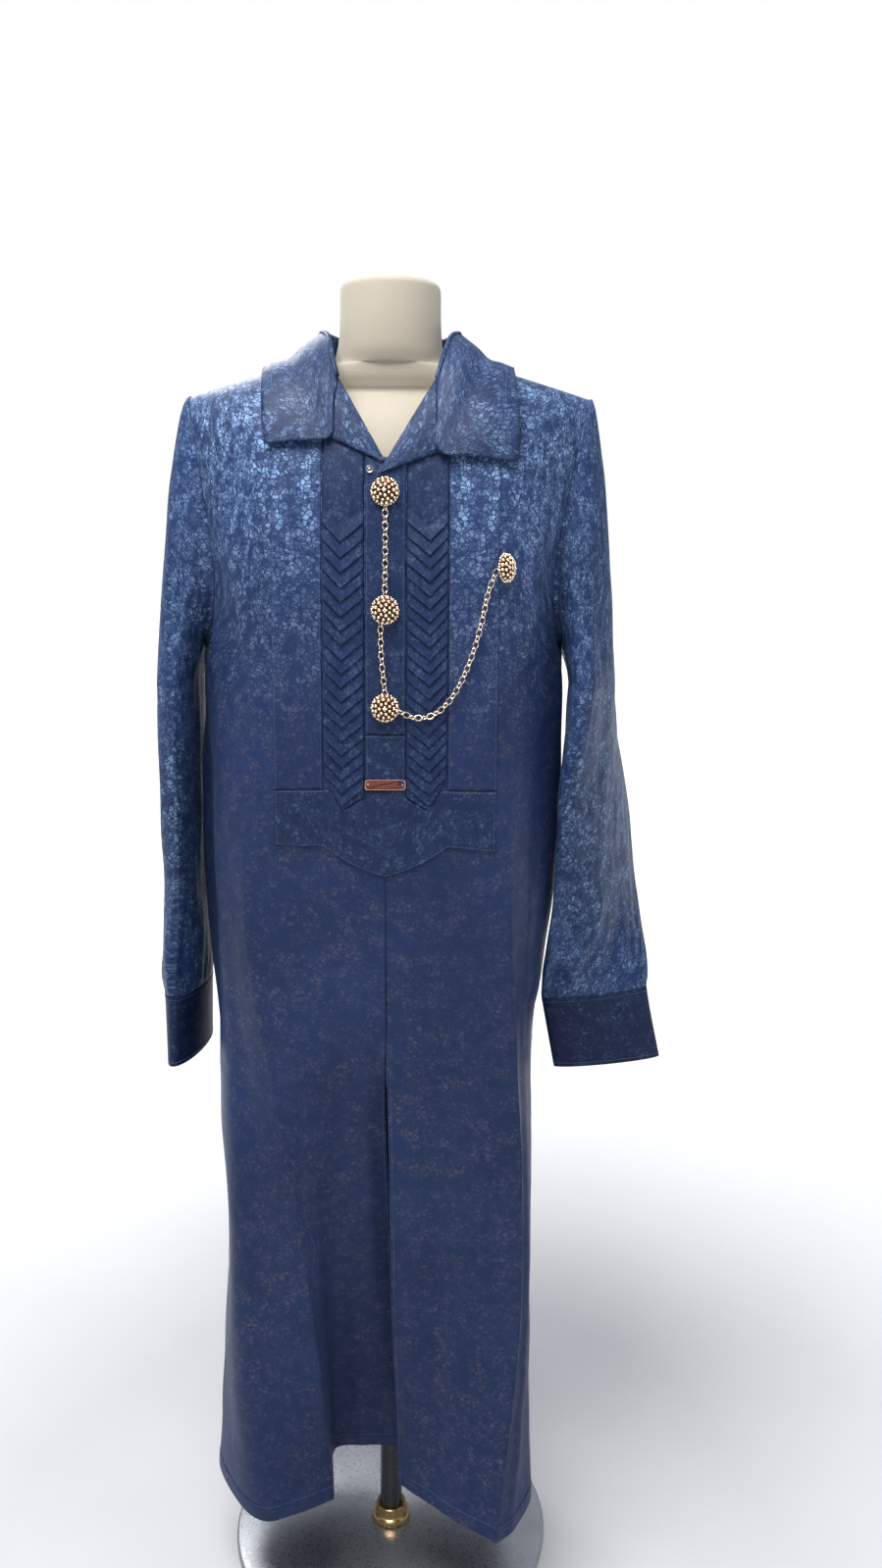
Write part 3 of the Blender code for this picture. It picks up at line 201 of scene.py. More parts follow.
socket_brass = worn_finish("socket_brass", (0.62, 0.43, 0.20), (0.50, 0.34, 0.15), 0.26, 1.0,
                           60.0, 0.00003)
new_piece("pole_ring", turned("pole_ring", [(BASE_HEIGHT + z, r, r) for z, r in SOCKET_PROFILE], 64,
                              ring_shape=True), socket_brass, "socket_metal", "pole_socket")

plate_steel = worn_finish("plate_steel", (0.40, 0.41, 0.43), (0.45, 0.46, 0.48), 0.30, 0.85,
                          30.0, 0.000004)
edge = BASE_HEIGHT
new_piece("plate", turned("plate", (
    (0.0, BASE_RADIUS - 0.0010, BASE_RADIUS - 0.0010), (0.0008, BASE_RADIUS, BASE_RADIUS),
    (edge - 0.0024, BASE_RADIUS, BASE_RADIUS),
    (edge - 0.0012, BASE_RADIUS - 0.0004, BASE_RADIUS - 0.0004),
    (edge - 0.0004, BASE_RADIUS - 0.0012, BASE_RADIUS - 0.0012),
    (edge, BASE_RADIUS - 0.0026, BASE_RADIUS - 0.0026)), 128),
    plate_steel, "base_metal", "base_plate")


# Dress form: a padded body without limbs, cut off at the hips and neck, under a cream knitted
# cover that is sewn up the middle of front and back. The kaftan's shoulders rest on it.

NECK_X = 0.064
NECK_Z = 1.316
SHOULDER_X = 0.200
SHOULDER_Z = 1.277
NECK_TOP_Z = 1.385
FORM_CLEARANCE = 0.0023
TORSO = (
    (0.600, 0.130, 0.087), (0.603, 0.1375, 0.0925), (0.610, 0.1410, 0.0960),
    (0.680, 0.146, 0.100), (0.760, 0.149, 0.100), (0.860, 0.139, 0.093), (0.960, 0.131, 0.088),
    (1.050, 0.145, 0.095), (1.130, 0.159, 0.099), (1.200, 0.171, 0.094), (1.240, 0.180, 0.076),
    (1.264, 0.1855, 0.054))
# Rings along the shoulders: half width, half depth and how far they keep under the cloth
RIDGE = ((0.1835, 0.034, 0.0008), (0.1560, 0.034, 0.0008), (0.1260, 0.036, 0.0008),
         (0.0960, 0.037, 0.0012), (0.0745, 0.038, 0.0034), (0.0590, 0.040, 0.0062))
NECK_RINGS = ((1.320, 0.0535, 0.0435), (1.334, 0.0508, 0.0450), (1.352, 0.0498, 0.0458),
              (1.376, 0.0496, 0.0456), (1.3820, 0.0488, 0.0448), (NECK_TOP_Z, 0.0462, 0.0422))


def shoulder_z(x):
    """Height of the shoulder seam above a point across the body."""
    return NECK_Z - (abs(x) - NECK_X) * (NECK_Z - SHOULDER_Z) / (SHOULDER_X - NECK_X)


def smooth_through(points, steps):
    """Points of a smooth curve through the given ones, steps to each span."""
    points = np.asarray(points, float)
    padded = np.concatenate([[2 * points[0] - points[1]], points, [2 * points[-1] - points[-2]]])
    curve = []
    for i in range(len(points) - 1):
        a, b, c, d = padded[i:i + 4]
        for f in np.arange(steps) / steps:
            curve.append(0.5 * (2 * b + (c - a) * f + (2 * a - 5 * b + 4 * c - d) * f ** 2
                                + (3 * b - a - 3 * c + d) * f ** 3))
    curve.append(points[-1])
    return np.array(curve)


def knitted_cover():
    made, tree, shader = plain_material("knitted_cover", (0.345, 0.305, 0.240), 0.85)
    spot = add_node(tree, "ShaderNodeTexCoord").outputs["Object"]
    color = blend_colors(tree, spread(tree, noise(tree, spot, 7.0, 3.0), 0.35, 0.65),
                         (0.360, 0.320, 0.255, 1.0), (0.325, 0.285, 0.222, 1.0))
    tree.links.new(color, shader.inputs["Base Color"])
    rows = add_node(tree, "ShaderNodeTexWave", {
        "Vector": spot, "Scale": 260.0, "Distortion": 1.2, "Detail": 1.0}, bands_direction="Z")
    add_relief(tree, shader, rows.outputs["Fac"], 0.00012, 0.5)
    shader.inputs["Sheen Weight"].default_value = 0.25
    return made


shoulders = [(shoulder_z(w) - FORM_CLEARANCE - sink, w, d) for w, d, sink in RIDGE]
rings = smooth_through([*TORSO, *shoulders, *NECK_RINGS], 4)
form = new_piece("form_body", turned("form_body", rings, 128), knitted_cover(), "form_cover",
                 "form_torso")


# Cloth: one surface of positions round the body and heights, which all the sewn panels share.
# Places 0 to 5 run from the centre front to the right side seam, 5 to 11 across the back and
# 11 to 16 from the left side seam to the centre front. Distances count outwards on either side.

ARMPIT_Z = 1.030
NECK_BACK_Y = 0.058
V_BOTTOM_Z = 1.208
V_TOP = (0.0466, 1.2888)
V_TOP_PLACE = 1.5
CHEST_ROUNDNESS = 2.5
ARMHOLE_CURVE = 0.35
SLIT_TOP_Z = 0.60
SEAM_GAP = 0.0004
CLOTH = 0.0007
VENT_TOPS = {-1.0: 0.545, 1.0: 0.618}
VENT_SPREAD = 0.40
VENT_OPENING_HEIGHT = 0.10
CREASE_TOP_Z = 0.90
CREASE_SHARPNESS = 0.85
FrontRow = namedtuple(
    "FrontRow", "z edge_x edge_y turn crease_x crease_y corner_x corner_y side_x side_y")
FRONT_RIGHT = tuple(FrontRow(*row) for row in (
    (1.030, 0.000, -0.118, 0.00, 0.112, -0.116, 0.165, -0.072, 0.1905, 0.000),
    (0.930, 0.000, -0.120, 0.00, 0.122, -0.118, 0.171, -0.075, 0.1930, 0.000),
    (0.843, 0.000, -0.120, 0.00, 0.136, -0.117, 0.175, -0.076, 0.1930, 0.000),
    (0.740, 0.000, -0.119, 0.00, 0.135, -0.118, 0.172, -0.078, 0.1900, 0.000),
    (0.640, 0.000, -0.117, 0.00, 0.119, -0.121, 0.166, -0.086, 0.1840, 0.000),
    (0.545, 0.000, -0.101, 0.20, 0.102, -0.122, 0.159, -0.100, 0.1830, -0.010),
    (0.430, -0.004, -0.082, 0.45, 0.087, -0.122, 0.152, -0.110, 0.1720, -0.045),
    (0.290, -0.008, -0.060, 0.72, 0.070, -0.118, 0.146, -0.120, 0.1800, -0.050),
    (0.120, -0.014, -0.034, 1.00, 0.057, -0.110, 0.130, -0.127, 0.1905, -0.048),
))
FRONT_LEFT = tuple(FrontRow(*row) for row in (
    (1.030, 0.000, -0.118, 0.00, 0.112, -0.116, 0.158, -0.070, 0.1760, 0.000),
    (0.948, 0.000, -0.120, 0.00, 0.109, -0.119, 0.158, -0.072, 0.1760, 0.000),
    (0.845, 0.000, -0.120, 0.00, 0.118, -0.119, 0.157, -0.072, 0.1740, 0.000),
    (0.765, 0.000, -0.119, 0.00, 0.122, -0.119, 0.153, -0.075, 0.1680, 0.000),
    (0.690, 0.000, -0.118, 0.00, 0.127, -0.118, 0.149, -0.070, 0.1600, 0.000),
    (0.607, 0.001, -0.118, 0.00, 0.132, -0.117, 0.146, -0.070, 0.1515, -0.012),
    (0.510, 0.003, -0.116, 0.00, 0.138, -0.115, 0.148, -0.085, 0.1515, -0.050),
    (0.350, 0.005, -0.108, 0.00, 0.139, -0.120, 0.149, -0.091, 0.1520, -0.056),
    (0.250, 0.008, -0.098, 0.00, 0.131, -0.132, 0.147, -0.102, 0.1530, -0.066),
    (0.120, 0.012, -0.085, 0.00, 0.116, -0.148, 0.142, -0.119, 0.1570, -0.085),
))
# Back sections, alike on both sides: corner_share is a share of the side seam's distance
BackRow = namedtuple("BackRow", "z centre_y mid_y corner_share corner_y")
BACK = tuple(BackRow(*row) for row in (
    (1.030, 0.112, 0.108, 0.870, 0.064), (0.800, 0.112, 0.109, 0.880, 0.068),
    (0.600, 0.109, 0.112, 0.920, 0.076), (0.350, 0.106, 0.117, 0.930, 0.086),
    (0.120, 0.110, 0.125, 0.900, 0.096),
))
HemRow = namedtuple("HemRow", "place z")
HEM = tuple(HemRow(*row) for row in (
    (0.0, 0.130), (2.0, 0.130), (3.0, 0.125), (4.0, 0.1135),
    (5.0, 0.120), (6.5, 0.111), (8.0, 0.116), (9.5, 0.110),
    (11.0, 0.112), (12.0, 0.108), (13.0, 0.107), (16.0, 0.125),
))
# Folds: where each starts and ends, how high it reaches, its depth outwards and its half width
Fold = namedtuple("Fold", "place_top place_bottom z_top z_bottom depth width")
BODY_FOLDS = tuple(Fold(*row) for row in (
    (3.80, 3.05, 1.262, 0.960, 0.0075, 0.32),
    (4.30, 4.35, 1.020, 0.600, -0.0070, 0.30),
    (4.72, 4.80, 0.960, 0.640, 0.0045, 0.22),
    (12.15, 12.75, 1.245, 0.990, 0.0055, 0.30),
    (11.62, 11.50, 1.010, 0.660, 0.0055, 0.24),
    (12.15, 12.20, 0.980, 0.620, -0.0060, 0.28),
    (7.00, 6.75, 1.180, 0.060, 0.0100, 0.34),
    (6.35, 6.20, 0.980, 0.060, -0.0080, 0.28),
    (7.75, 7.70, 0.930, 0.060, -0.0085, 0.34),
    (8.60, 8.75, 1.080, 0.060, 0.0090, 0.34),
    (9.55, 9.70, 1.010, 0.060, -0.0095, 0.32),
    (10.20, 10.25, 1.120, 0.060, 0.0085, 0.28),
    # Lighter folds of the skirt, the chest and the back
    (0.75, 0.70, 0.800, 0.200, 0.0022, 0.30),
    (1.55, 1.70, 0.780, 0.160, -0.0026, 0.34),
    (2.40, 2.50, 0.700, 0.150, 0.0024, 0.26),
    (3.55, 3.60, 0.860, 0.060, -0.0040, 0.22),
    (4.10, 4.20, 0.600, 0.060, 0.0034, 0.24),
    (15.20, 15.35, 0.790, 0.060, 0.0024, 0.34),
    (14.30, 14.40, 0.760, 0.060, -0.0030, 0.36),
    (13.55, 13.62, 0.700, 0.060, 0.0026, 0.26),
    (12.62, 12.70, 0.820, 0.300, -0.0030, 0.20),
    (12.45, 12.40, 0.500, 0.060, 0.0034, 0.20),
    (3.35, 3.75, 1.225, 1.060, -0.0030, 0.16),
    (12.55, 12.30, 1.225, 1.060, -0.0026, 0.16),
    (4.60, 4.20, 1.110, 0.930, 0.0030, 0.16),
    (11.45, 11.85, 1.110, 0.900, 0.0030, 0.16),
    (6.75, 7.30, 1.150, 0.820, -0.0035, 0.20),
    (9.35, 8.85, 1.140, 0.780, -0.0030, 0.20),
    (8.15, 8.20, 0.760, 0.060, 0.0040, 0.20),
    (5.65, 5.70, 0.900, 0.300, 0.0040, 0.20),
    (10.75, 10.60, 0.880, 0.300, -0.0036, 0.22),
))


def hermite(a, b, slope_a, slope_b, f):
    f2 = f * f
    f3 = f2 * f
    return ((2 * f3 - 3 * f2 + 1) * a + (f3 - 2 * f2 + f) * slope_a
            + (3 * f2 - 2 * f3) * b + (f3 - f2) * slope_b)


def read_table(rows, name, value):
    """One named column of a table, read smoothly at many values of its first column."""
    ordered = sorted(rows, key=lambda row: row[0])
    keys = np.array([row[0] for row in ordered])
    data = np.array([getattr(row, name) for row in ordered])
    slopes = np.gradient(data)
    slopes[1:-1] = (data[2:] - data[:-2]) / (keys[2:] - keys[:-2])
    slopes[0] = (data[1] - data[0]) / (keys[1] - keys[0])
    slopes[-1] = (data[-1] - data[-2]) / (keys[-1] - keys[-2])
    value = np.clip(value, keys[0], keys[-1])
    i = np.clip(np.searchsorted(keys, value, side="right") - 1, 0, len(keys) - 2)
    span = keys[i + 1] - keys[i]
    return hermite(data[i], data[i + 1], slopes[i] * span, slopes[i + 1] * span,
                   (value - keys[i]) / span)


def evened(*values):
    """Values as flat arrays of one length."""
    return [np.asarray(v, float).ravel() for v in np.broadcast_arrays(*values)]


def unit(vectors, axis=1):
    return vectors / np.linalg.norm(vectors, axis=axis, keepdims=True)


def ease(value):
    v = np.clip(value, 0.0, 1.0)
    return v * v * (3.0 - 2.0 * v)


def fold_rise(rows, place, z, turn=None):
    """Outward distance that the listed folds add."""
    total = np.zeros(np.broadcast(place, z).shape)
    for row in rows:
        along = np.clip((row.z_top - z) / (row.z_top - row.z_bottom), 0.0, 1.0)
        gap = place - (row.place_top + (row.place_bottom - row.place_top) * along)
        if turn is not None:
            gap = (gap + turn / 2.0) % turn - turn / 2.0
        total += row.depth * np.exp(-(gap / row.width) ** 2) * np.sin(math.pi * along) ** 0.6
    return total


def ripple(u, v, size=0.00045):
    """Slight unevenness that pressed and hung cloth keeps, from waves that never line up."""
    return size * (np.sin(2.3 * u + 41.0 * v + 0.7) * np.sin(1.1 * u - 23.0 * v + 2.1)
                   + 0.7 * np.sin(4.7 * u + 13.0 * v + 4.0) * np.sin(67.0 * v - 1.9 * u)
                   + 0.5 * np.sin(7.9 * u - 9.0 * v + 1.3))


def front_anchors(rows, z, side):
    def column(name):
        return read_table(rows, name, z)

    def point(x, y):
        return np.stack([x, y], axis=-1)

    top = rows[0]
    share = NECK_X * top.corner_x / SHOULDER_X / top.crease_x
    turn = np.clip(column("turn"), 0.0, 1.0)[:, None]
    edge = point(side * column("edge_x"), column("edge_y"))
    crease = point(side * column("crease_x"), column("crease_y"))
    behind = point(crease[:, 0] + side * 0.004, edge[:, 1] - 0.006)
    middle = point(crease[:, 0] * 0.5, edge[:, 1])
    near = edge + (crease - edge) * share / 2.0
    far = edge + (crease - edge) * share
    corner = point(side * column("corner_x"), column("corner_y"))
    seam = point(side * column("side_x"), column("side_y"))
    return [edge, near + (middle - near) * turn, far + (behind - far) * turn, crease, corner, seam]


def sections(z):
    """Anchor points of level sections with their slopes and spacings."""
    z = np.minimum(z, ARMPIT_Z)
    right = front_anchors(FRONT_RIGHT, z, -1.0)
    left = front_anchors(FRONT_LEFT, z, 1.0)

    def column(name):
        return read_table(BACK, name, z)

    def point(x, y):
        return np.stack([x * np.ones_like(z), y], axis=-1)

    neck = NECK_X * BACK[0].corner_share / SHOULDER_X
    share = column("corner_share")
    points = np.stack(right + [
        point(right[5][:, 0] * share, column("corner_y")),
        point(-neck * FRONT_RIGHT[0].side_x, column("mid_y")),
        point(0.0, column("centre_y")),
        point(neck * FRONT_LEFT[0].side_x, column("mid_y")),
        point(left[5][:, 0] * share, column("corner_y"))] + left[::-1], axis=1)
    gaps = np.linalg.norm(np.diff(points, axis=1), axis=2)
    slopes = np.empty_like(points)
    slopes[:, 0] = (points[:, 1] - points[:, 0]) / gaps[:, :1]
    slopes[:, -1] = (points[:, -1] - points[:, -2]) / gaps[:, -1:]
    slopes[:, 1:-1] = (points[:, 2:] - points[:, :-2]) / (gaps[:, :-1] + gaps[:, 1:])[:, :, None]
    before, after = slopes.copy(), slopes.copy()
    sharp = (CREASE_SHARPNESS * ease((CREASE_TOP_Z - z) / 0.12))[:, None]
    for crease in (3, 13):
        chords = np.diff(points[:, crease - 1:crease + 2], axis=1)
        chords /= gaps[:, crease - 1:crease + 1, None]
        before[:, crease] += (chords[:, 0] - slopes[:, crease]) * sharp
        after[:, crease] += (chords[:, 1] - slopes[:, crease]) * sharp
    return points, before, after, gaps


def ring(place, cuts):
    """Plan positions and outward directions at places on sections that are already cut."""
    points, before, after, gaps = cuts
    i = np.clip(place.astype(int), 0, 15)
    n = np.arange(len(place))
    f = (place - i)[:, None]
    span = gaps[n, i][:, None]
    a, b = points[n, i], points[n, i + 1]
    slope_a, slope_b = after[n, i] * span, before[n, i + 1] * span
    spot = hermite(a, b, slope_a, slope_b, f)
    along = ((6 * f * f - 6 * f) * (a - b) + (3 * f * f - 4 * f + 1) * slope_a
             + (3 * f * f - 2 * f) * slope_b)
    along /= np.linalg.norm(along, axis=1, keepdims=True)
    return spot, np.stack([-along[:, 1], along[:, 0]], axis=1)


def surface(place, level, cuts=None):
    """Worn cloth: a level below 0 is metres under the armpit, above 0 the way to the shoulder."""
    place, level = evened(place, level)
    low = np.minimum(level, 0.0)
    height = np.clip(level, 0.0, 1.0)
    if cuts is None:
        cuts = sections(ARMPIT_Z + low)
    spot, outward = ring(place, cuts)
    front = (place < 5.0) | (place > 11.0)
    anchor = np.where(front, 4, 6)
    anchor = np.where(place > 8.0, 16 - anchor, anchor)
    wide = np.abs(cuts[0][np.arange(len(place)), anchor, 0])
    grow = 1.0 + (SHOULDER_X / wide - 1.0) * height ** 2
    x = spot[:, 0] * np.where(height > 0.0, grow, 1.0)
    z = ARMPIT_Z + low + (shoulder_z(x) - ARMPIT_Z) * height
    depth = (1.0 - height ** CHEST_ROUNDNESS) ** (1.0 / CHEST_ROUNDNESS)
    rise = (fold_rise(BODY_FOLDS, place, z) + ripple(place, z)) * depth
    y = spot[:, 1] * depth + outward[:, 1] * rise
    return np.stack([x + outward[:, 0] * rise, y, z], axis=1)


def cloth_normal(place, level):
    """Outward normal of the worn cloth."""
    place, level = evened(place, level)
    across = (surface(np.minimum(place + 0.03, 16.0), level)
              - surface(np.maximum(place - 0.03, 0.0), level))
    up = surface(place, np.minimum(level + 0.004, 0.995)) - surface(place, level - 0.004)
    normal = np.cross(up, across)
    slope = (NECK_Z - SHOULDER_Z) / (SHOULDER_X - NECK_X)
    ridge = np.stack([np.sign(across[:, 1]) * slope, 0.0 * place, 1.0 + 0.0 * place], axis=1)
    at_ridge = (level >= 0.999) | (np.linalg.norm(normal, axis=1) < 1e-12)
    side = np.sign(surface(place, level)[:, 0])
    ridge[:, 0] = side * slope
    normal = np.where(at_ridge[:, None], ridge, normal)
    return unit(normal)


def solve(low, high, excess):
    """Roots of a rising function by halving, many at a time."""
    low, high = (np.array(v, float) for v in np.broadcast_arrays(low, high))
    for _ in range(34):
        middle = (low + high) / 2.0
        over = excess(middle) > 0.0
        high = np.where(over, middle, high)
        low = np.where(over, low, middle)
    return (low + high) / 2.0


def v_line(distance):
    """Height of the straight V edge at a distance from the middle."""
    return V_BOTTOM_Z + (V_TOP[1] - V_BOTTOM_Z) * distance / V_TOP[0]


def neck_top(place):
    """Level at which a column ends: the V in front, the back neckline, else the shoulder."""
    place = np.asarray(place, float)
    front = np.minimum(place, 16.0 - place)
    level = np.ones_like(place)
    pick = front <= V_TOP_PLACE
    if pick.any():
        chosen = place[pick]

        def above_v(h):
            spot = surface(chosen, h)
            return spot[:, 2] - v_line(np.abs(spot[:, 0]))
        level[pick] = solve(0.3 * np.ones_like(chosen), 1.0, above_v)
    pick = (front > V_TOP_PLACE) & (front < 2.0)
    if pick.any():
        chosen = place[pick]
        top = np.where(chosen < 2.0, V_TOP_PLACE, 16.0 - V_TOP_PLACE)
        reach = np.abs(surface(top, neck_top(top))[:, 1])
        reach *= (2.0 - front[pick]) / (2.0 - V_TOP_PLACE)
        level[pick] = solve(0.5 * np.ones_like(chosen), 1.0,
                            lambda h: reach - np.abs(surface(chosen, h)[:, 1]))
    pick = (place > 7.0) & (place < 9.0)
    if pick.any():
        chosen = place[pick]

        def past_neckline(h):
            spot = surface(chosen, h)
            inside = np.maximum(0.0, 1.0 - (spot[:, 0] / NECK_X) ** 2)
            return NECK_BACK_Y * np.sqrt(inside) - spot[:, 1]
        level[pick] = solve(0.5 * np.ones_like(chosen), 1.0, past_neckline)
    return level


def angle_level(angle):
    """Level for an angle over the shoulder: 0 at the front armpit, 90 on the seam, 180 behind."""
    return np.sin(np.radians(angle)) ** (2.0 / CHEST_ROUNDNESS)


def front_edge(level):
    """Place of the front armhole edge."""
    q = np.clip(level / ARMHOLE_CURVE, 0.0, 1.0)
    return 5.0 - np.sqrt(1.0 - (1.0 - q) ** 2)


def grid_normals(grid, tube=False):
    """Normals of a grid of points from its neighbours."""
    if tube:
        across = np.roll(grid, -1, axis=1) - np.roll(grid, 1, axis=1)
    else:
        across = np.gradient(grid, axis=1)
    normal = np.cross(across, np.gradient(grid, axis=0))
    return normal / np.maximum(np.linalg.norm(normal, axis=2, keepdims=True), 1e-12)


def cloth_uv(grid, reference_row, tube=False):
    """Flat cloth coordinates in metres: across along one row, and down each column."""
    if tube:
        grid = np.concatenate([grid, grid[:, :1]], axis=1)
    row = grid[reference_row]
    across = np.concatenate([[0.0], np.cumsum(np.linalg.norm(np.diff(row, axis=0), axis=1))])
    down = np.concatenate([np.zeros((1, grid.shape[1])),
                           np.cumsum(np.linalg.norm(np.diff(grid, axis=0), axis=2), axis=0)])
    down -= down[reference_row]
    return np.stack([np.broadcast_to(across, down.shape), down], axis=2)


def cloth_mesh(name, grid, uv, outward, tube=False):
    """Mesh of a grid of points whose faces point the way that outward does."""
    rows, columns = grid.shape[:2]
    spans = columns if tube else columns - 1
    if (grid_normals(grid, tube) * outward).sum() > 0.0:
        corners = ((0, 0), (0, 1), (1, 1), (1, 0))
    else:
        corners = ((0, 0), (1, 0), (1, 1), (0, 1))
    faces = []
    loops = []
    for j in range(rows - 1):
        for i in range(spans):
            faces.append([(j + dj) * columns + (i + di) % columns for dj, di in corners])
            loops.extend(uv[j + dj, i + di] for dj, di in corners)
    mesh = bpy.data.meshes.new(name)
    mesh.from_pydata(grid.reshape(-1, 3).tolist(), [], faces)
    layer = mesh.uv_layers.new(name="cloth")
    layer.data.foreach_set("uv", np.array(loops).ravel())
    mesh.shade_smooth()
    return mesh


def thicken(piece, thickness=CLOTH):
    """Gives a cloth piece its thickness, inwards from the modelled side."""
    wall = piece.modifiers.new("thickness", "SOLIDIFY")
    wall.thickness = thickness
    wall.offset = -1.0
    wall.use_even_offset = False


LEAVES = 215.0
VEINS = 520.0


def jacquard(name, shine, ground, motif, painted_skirt_shade=False):
    """Tonal jacquard: small leaves woven as glossy floats on a satin ground, on the cloth's map."""
    made, tree, shader = plain_material(name, ground, 0.5)
    cloth = add_node(tree, "ShaderNodeUVMap", uv_map="cloth").outputs["UV"]
    offset = add_node(tree, "ShaderNodeVectorMath", {
        0: noise(tree, cloth, 130.0, 2.0, "Color"), 1: (0.5, 0.5, 0.5)}, operation="SUBTRACT")
    bend = add_node(tree, "ShaderNodeVectorMath", {0: offset.outputs[0]}, operation="SCALE")
    bend.inputs["Scale"].default_value = 0.0042
    bent = add_node(tree, "ShaderNodeVectorMath", {0: cloth, 1: bend.outputs[0]}, operation="ADD")

    def cells(scale, feature, output):
        return add_node(tree, "ShaderNodeTexVoronoi", {"Vector": bent.outputs[0], "Scale": scale},
                        feature=feature).outputs[output]

    figure = spread(tree, cells(LEAVES, "DISTANCE_TO_EDGE", "Distance"), 0.03, 0.15)
    for part in (spread(tree, cells(VEINS, "DISTANCE_TO_EDGE", "Distance"), 0.02, 0.12, 0.35, 1.0),
                 spread(tree, noise(tree, cloth, 55.0, 3.0), 0.36, 0.60, 0.10, 1.0),
                 spread(tree, cells(LEAVES, "F1", "Color"), 0.15, 0.80, 0.15, 1.0), shine):
        figure = compute(tree, "MULTIPLY", figure, part)
    motif_color = (*motif, 1.0)
    # Painted shade by height: between 1.17 and 0.95 m the figure weakens, loses gloss and turns
    # dull lilac grey, standing for the skirt's shade under lamps from above; it shows on the back
    # too.
    if painted_skirt_shade:
        place = add_node(tree, "ShaderNodeSeparateXYZ", {
            "Vector": add_node(tree, "ShaderNodeTexCoord").outputs["Object"]})
        height = spread(tree, place.outputs["Z"], 0.95, 1.17)
        low = spread(tree, noise(tree, cloth, 7.0, 2.0), 0.36, 0.68, 0.40, 0.85)
        painted_shade_share = add_node(tree, "ShaderNodeMix", {0: height, 2: low, 3: 1.0}, data_type="FLOAT")
        figure = compute(tree, "MULTIPLY", figure, painted_shade_share.outputs[0])
        # Painted shade: the dull lilac grey that the motif takes lower down stands for the skirt
        # lying in shade.
        motif_color = blend_colors(tree, height, (0.098, 0.086, 0.118, 1.0), motif_color)
    base = blend_colors(tree, spread(tree, noise(tree, cloth, 6.0, 2.0), 0.35, 0.65),
                        (*(c * 0.88 for c in ground), 1.0), (*(c * 1.15 for c in ground), 1.0))
    tree.links.new(blend_colors(tree, figure, base, motif_color), shader.inputs["Base Color"])
    tree.links.new(spread(tree, figure, 0.0, 1.0, 0.48, 0.34), shader.inputs["Roughness"])
    tree.links.new(spread(tree, figure, 0.0, 1.0, 0.0, 0.35), shader.inputs["Metallic"])
    shader.inputs["Specular IOR Level"].default_value = 0.16
    shader.inputs["Sheen Weight"].default_value = 0.05
    shader.inputs["Sheen Roughness"].default_value = 0.35
    shader.inputs["Sheen Tint"].default_value = (0.35, 0.55, 0.90, 1.0)
    twill = add_node(tree, "ShaderNodeTexWave", {
        "Vector": cloth, "Scale": 420.0, "Distortion": 0.6}, bands_direction="DIAGONAL")
    relief = compute(tree, "MULTIPLY_ADD", figure, 1.6, twill.outputs["Fac"])
    add_relief(tree, shader, relief, 0.00010, 0.55)
    return made


GROUND = (0.0095, 0.0225, 0.0760)
MOTIF = (0.235, 0.375, 0.600)
# The body cloth carries the painted shade by height: a weaker, duller pattern on the skirt than on
# the chest.
body_cloth = jacquard("blue_jacquard", 1.0, GROUND, MOTIF, painted_skirt_shade=True)
sleeve_cloth = jacquard("sleeve_jacquard", 0.62, GROUND, MOTIF)
pressed_cloth = jacquard("pressed_jacquard", 0.16, (0.0075, 0.0165, 0.0560), MOTIF)


# Fronts and back: three panels cut from the jacquard, hemmed and seamed at the sides and shoulders.
# The fronts are closed down the middle to a slit, and both side seams end in a vent.

LOWER_LEVELS = 150
UPPER_LEVELS = 64
HEM_DEPTH = 0.018
HEM_RISE = 0.0005
SKIRT_DROP = 0.915
TRIM = 0.0002


def panel_place(column, level, back):
    """Place of a panel's column, kept inside the armhole edge above the armpit."""
    edge = front_edge(np.maximum(level, 0.0))
    if back:
        above = np.where(column >= 7.0, column, 7.0 - (7.0 - column) / 2.0 * (edge - 3.0))
    else:
        above = np.where(column <= 3.0, column, 3.0 + (column - 3.0) / 2.0 * (edge - 3.0))
    return np.where(level > 0.0, above, column)


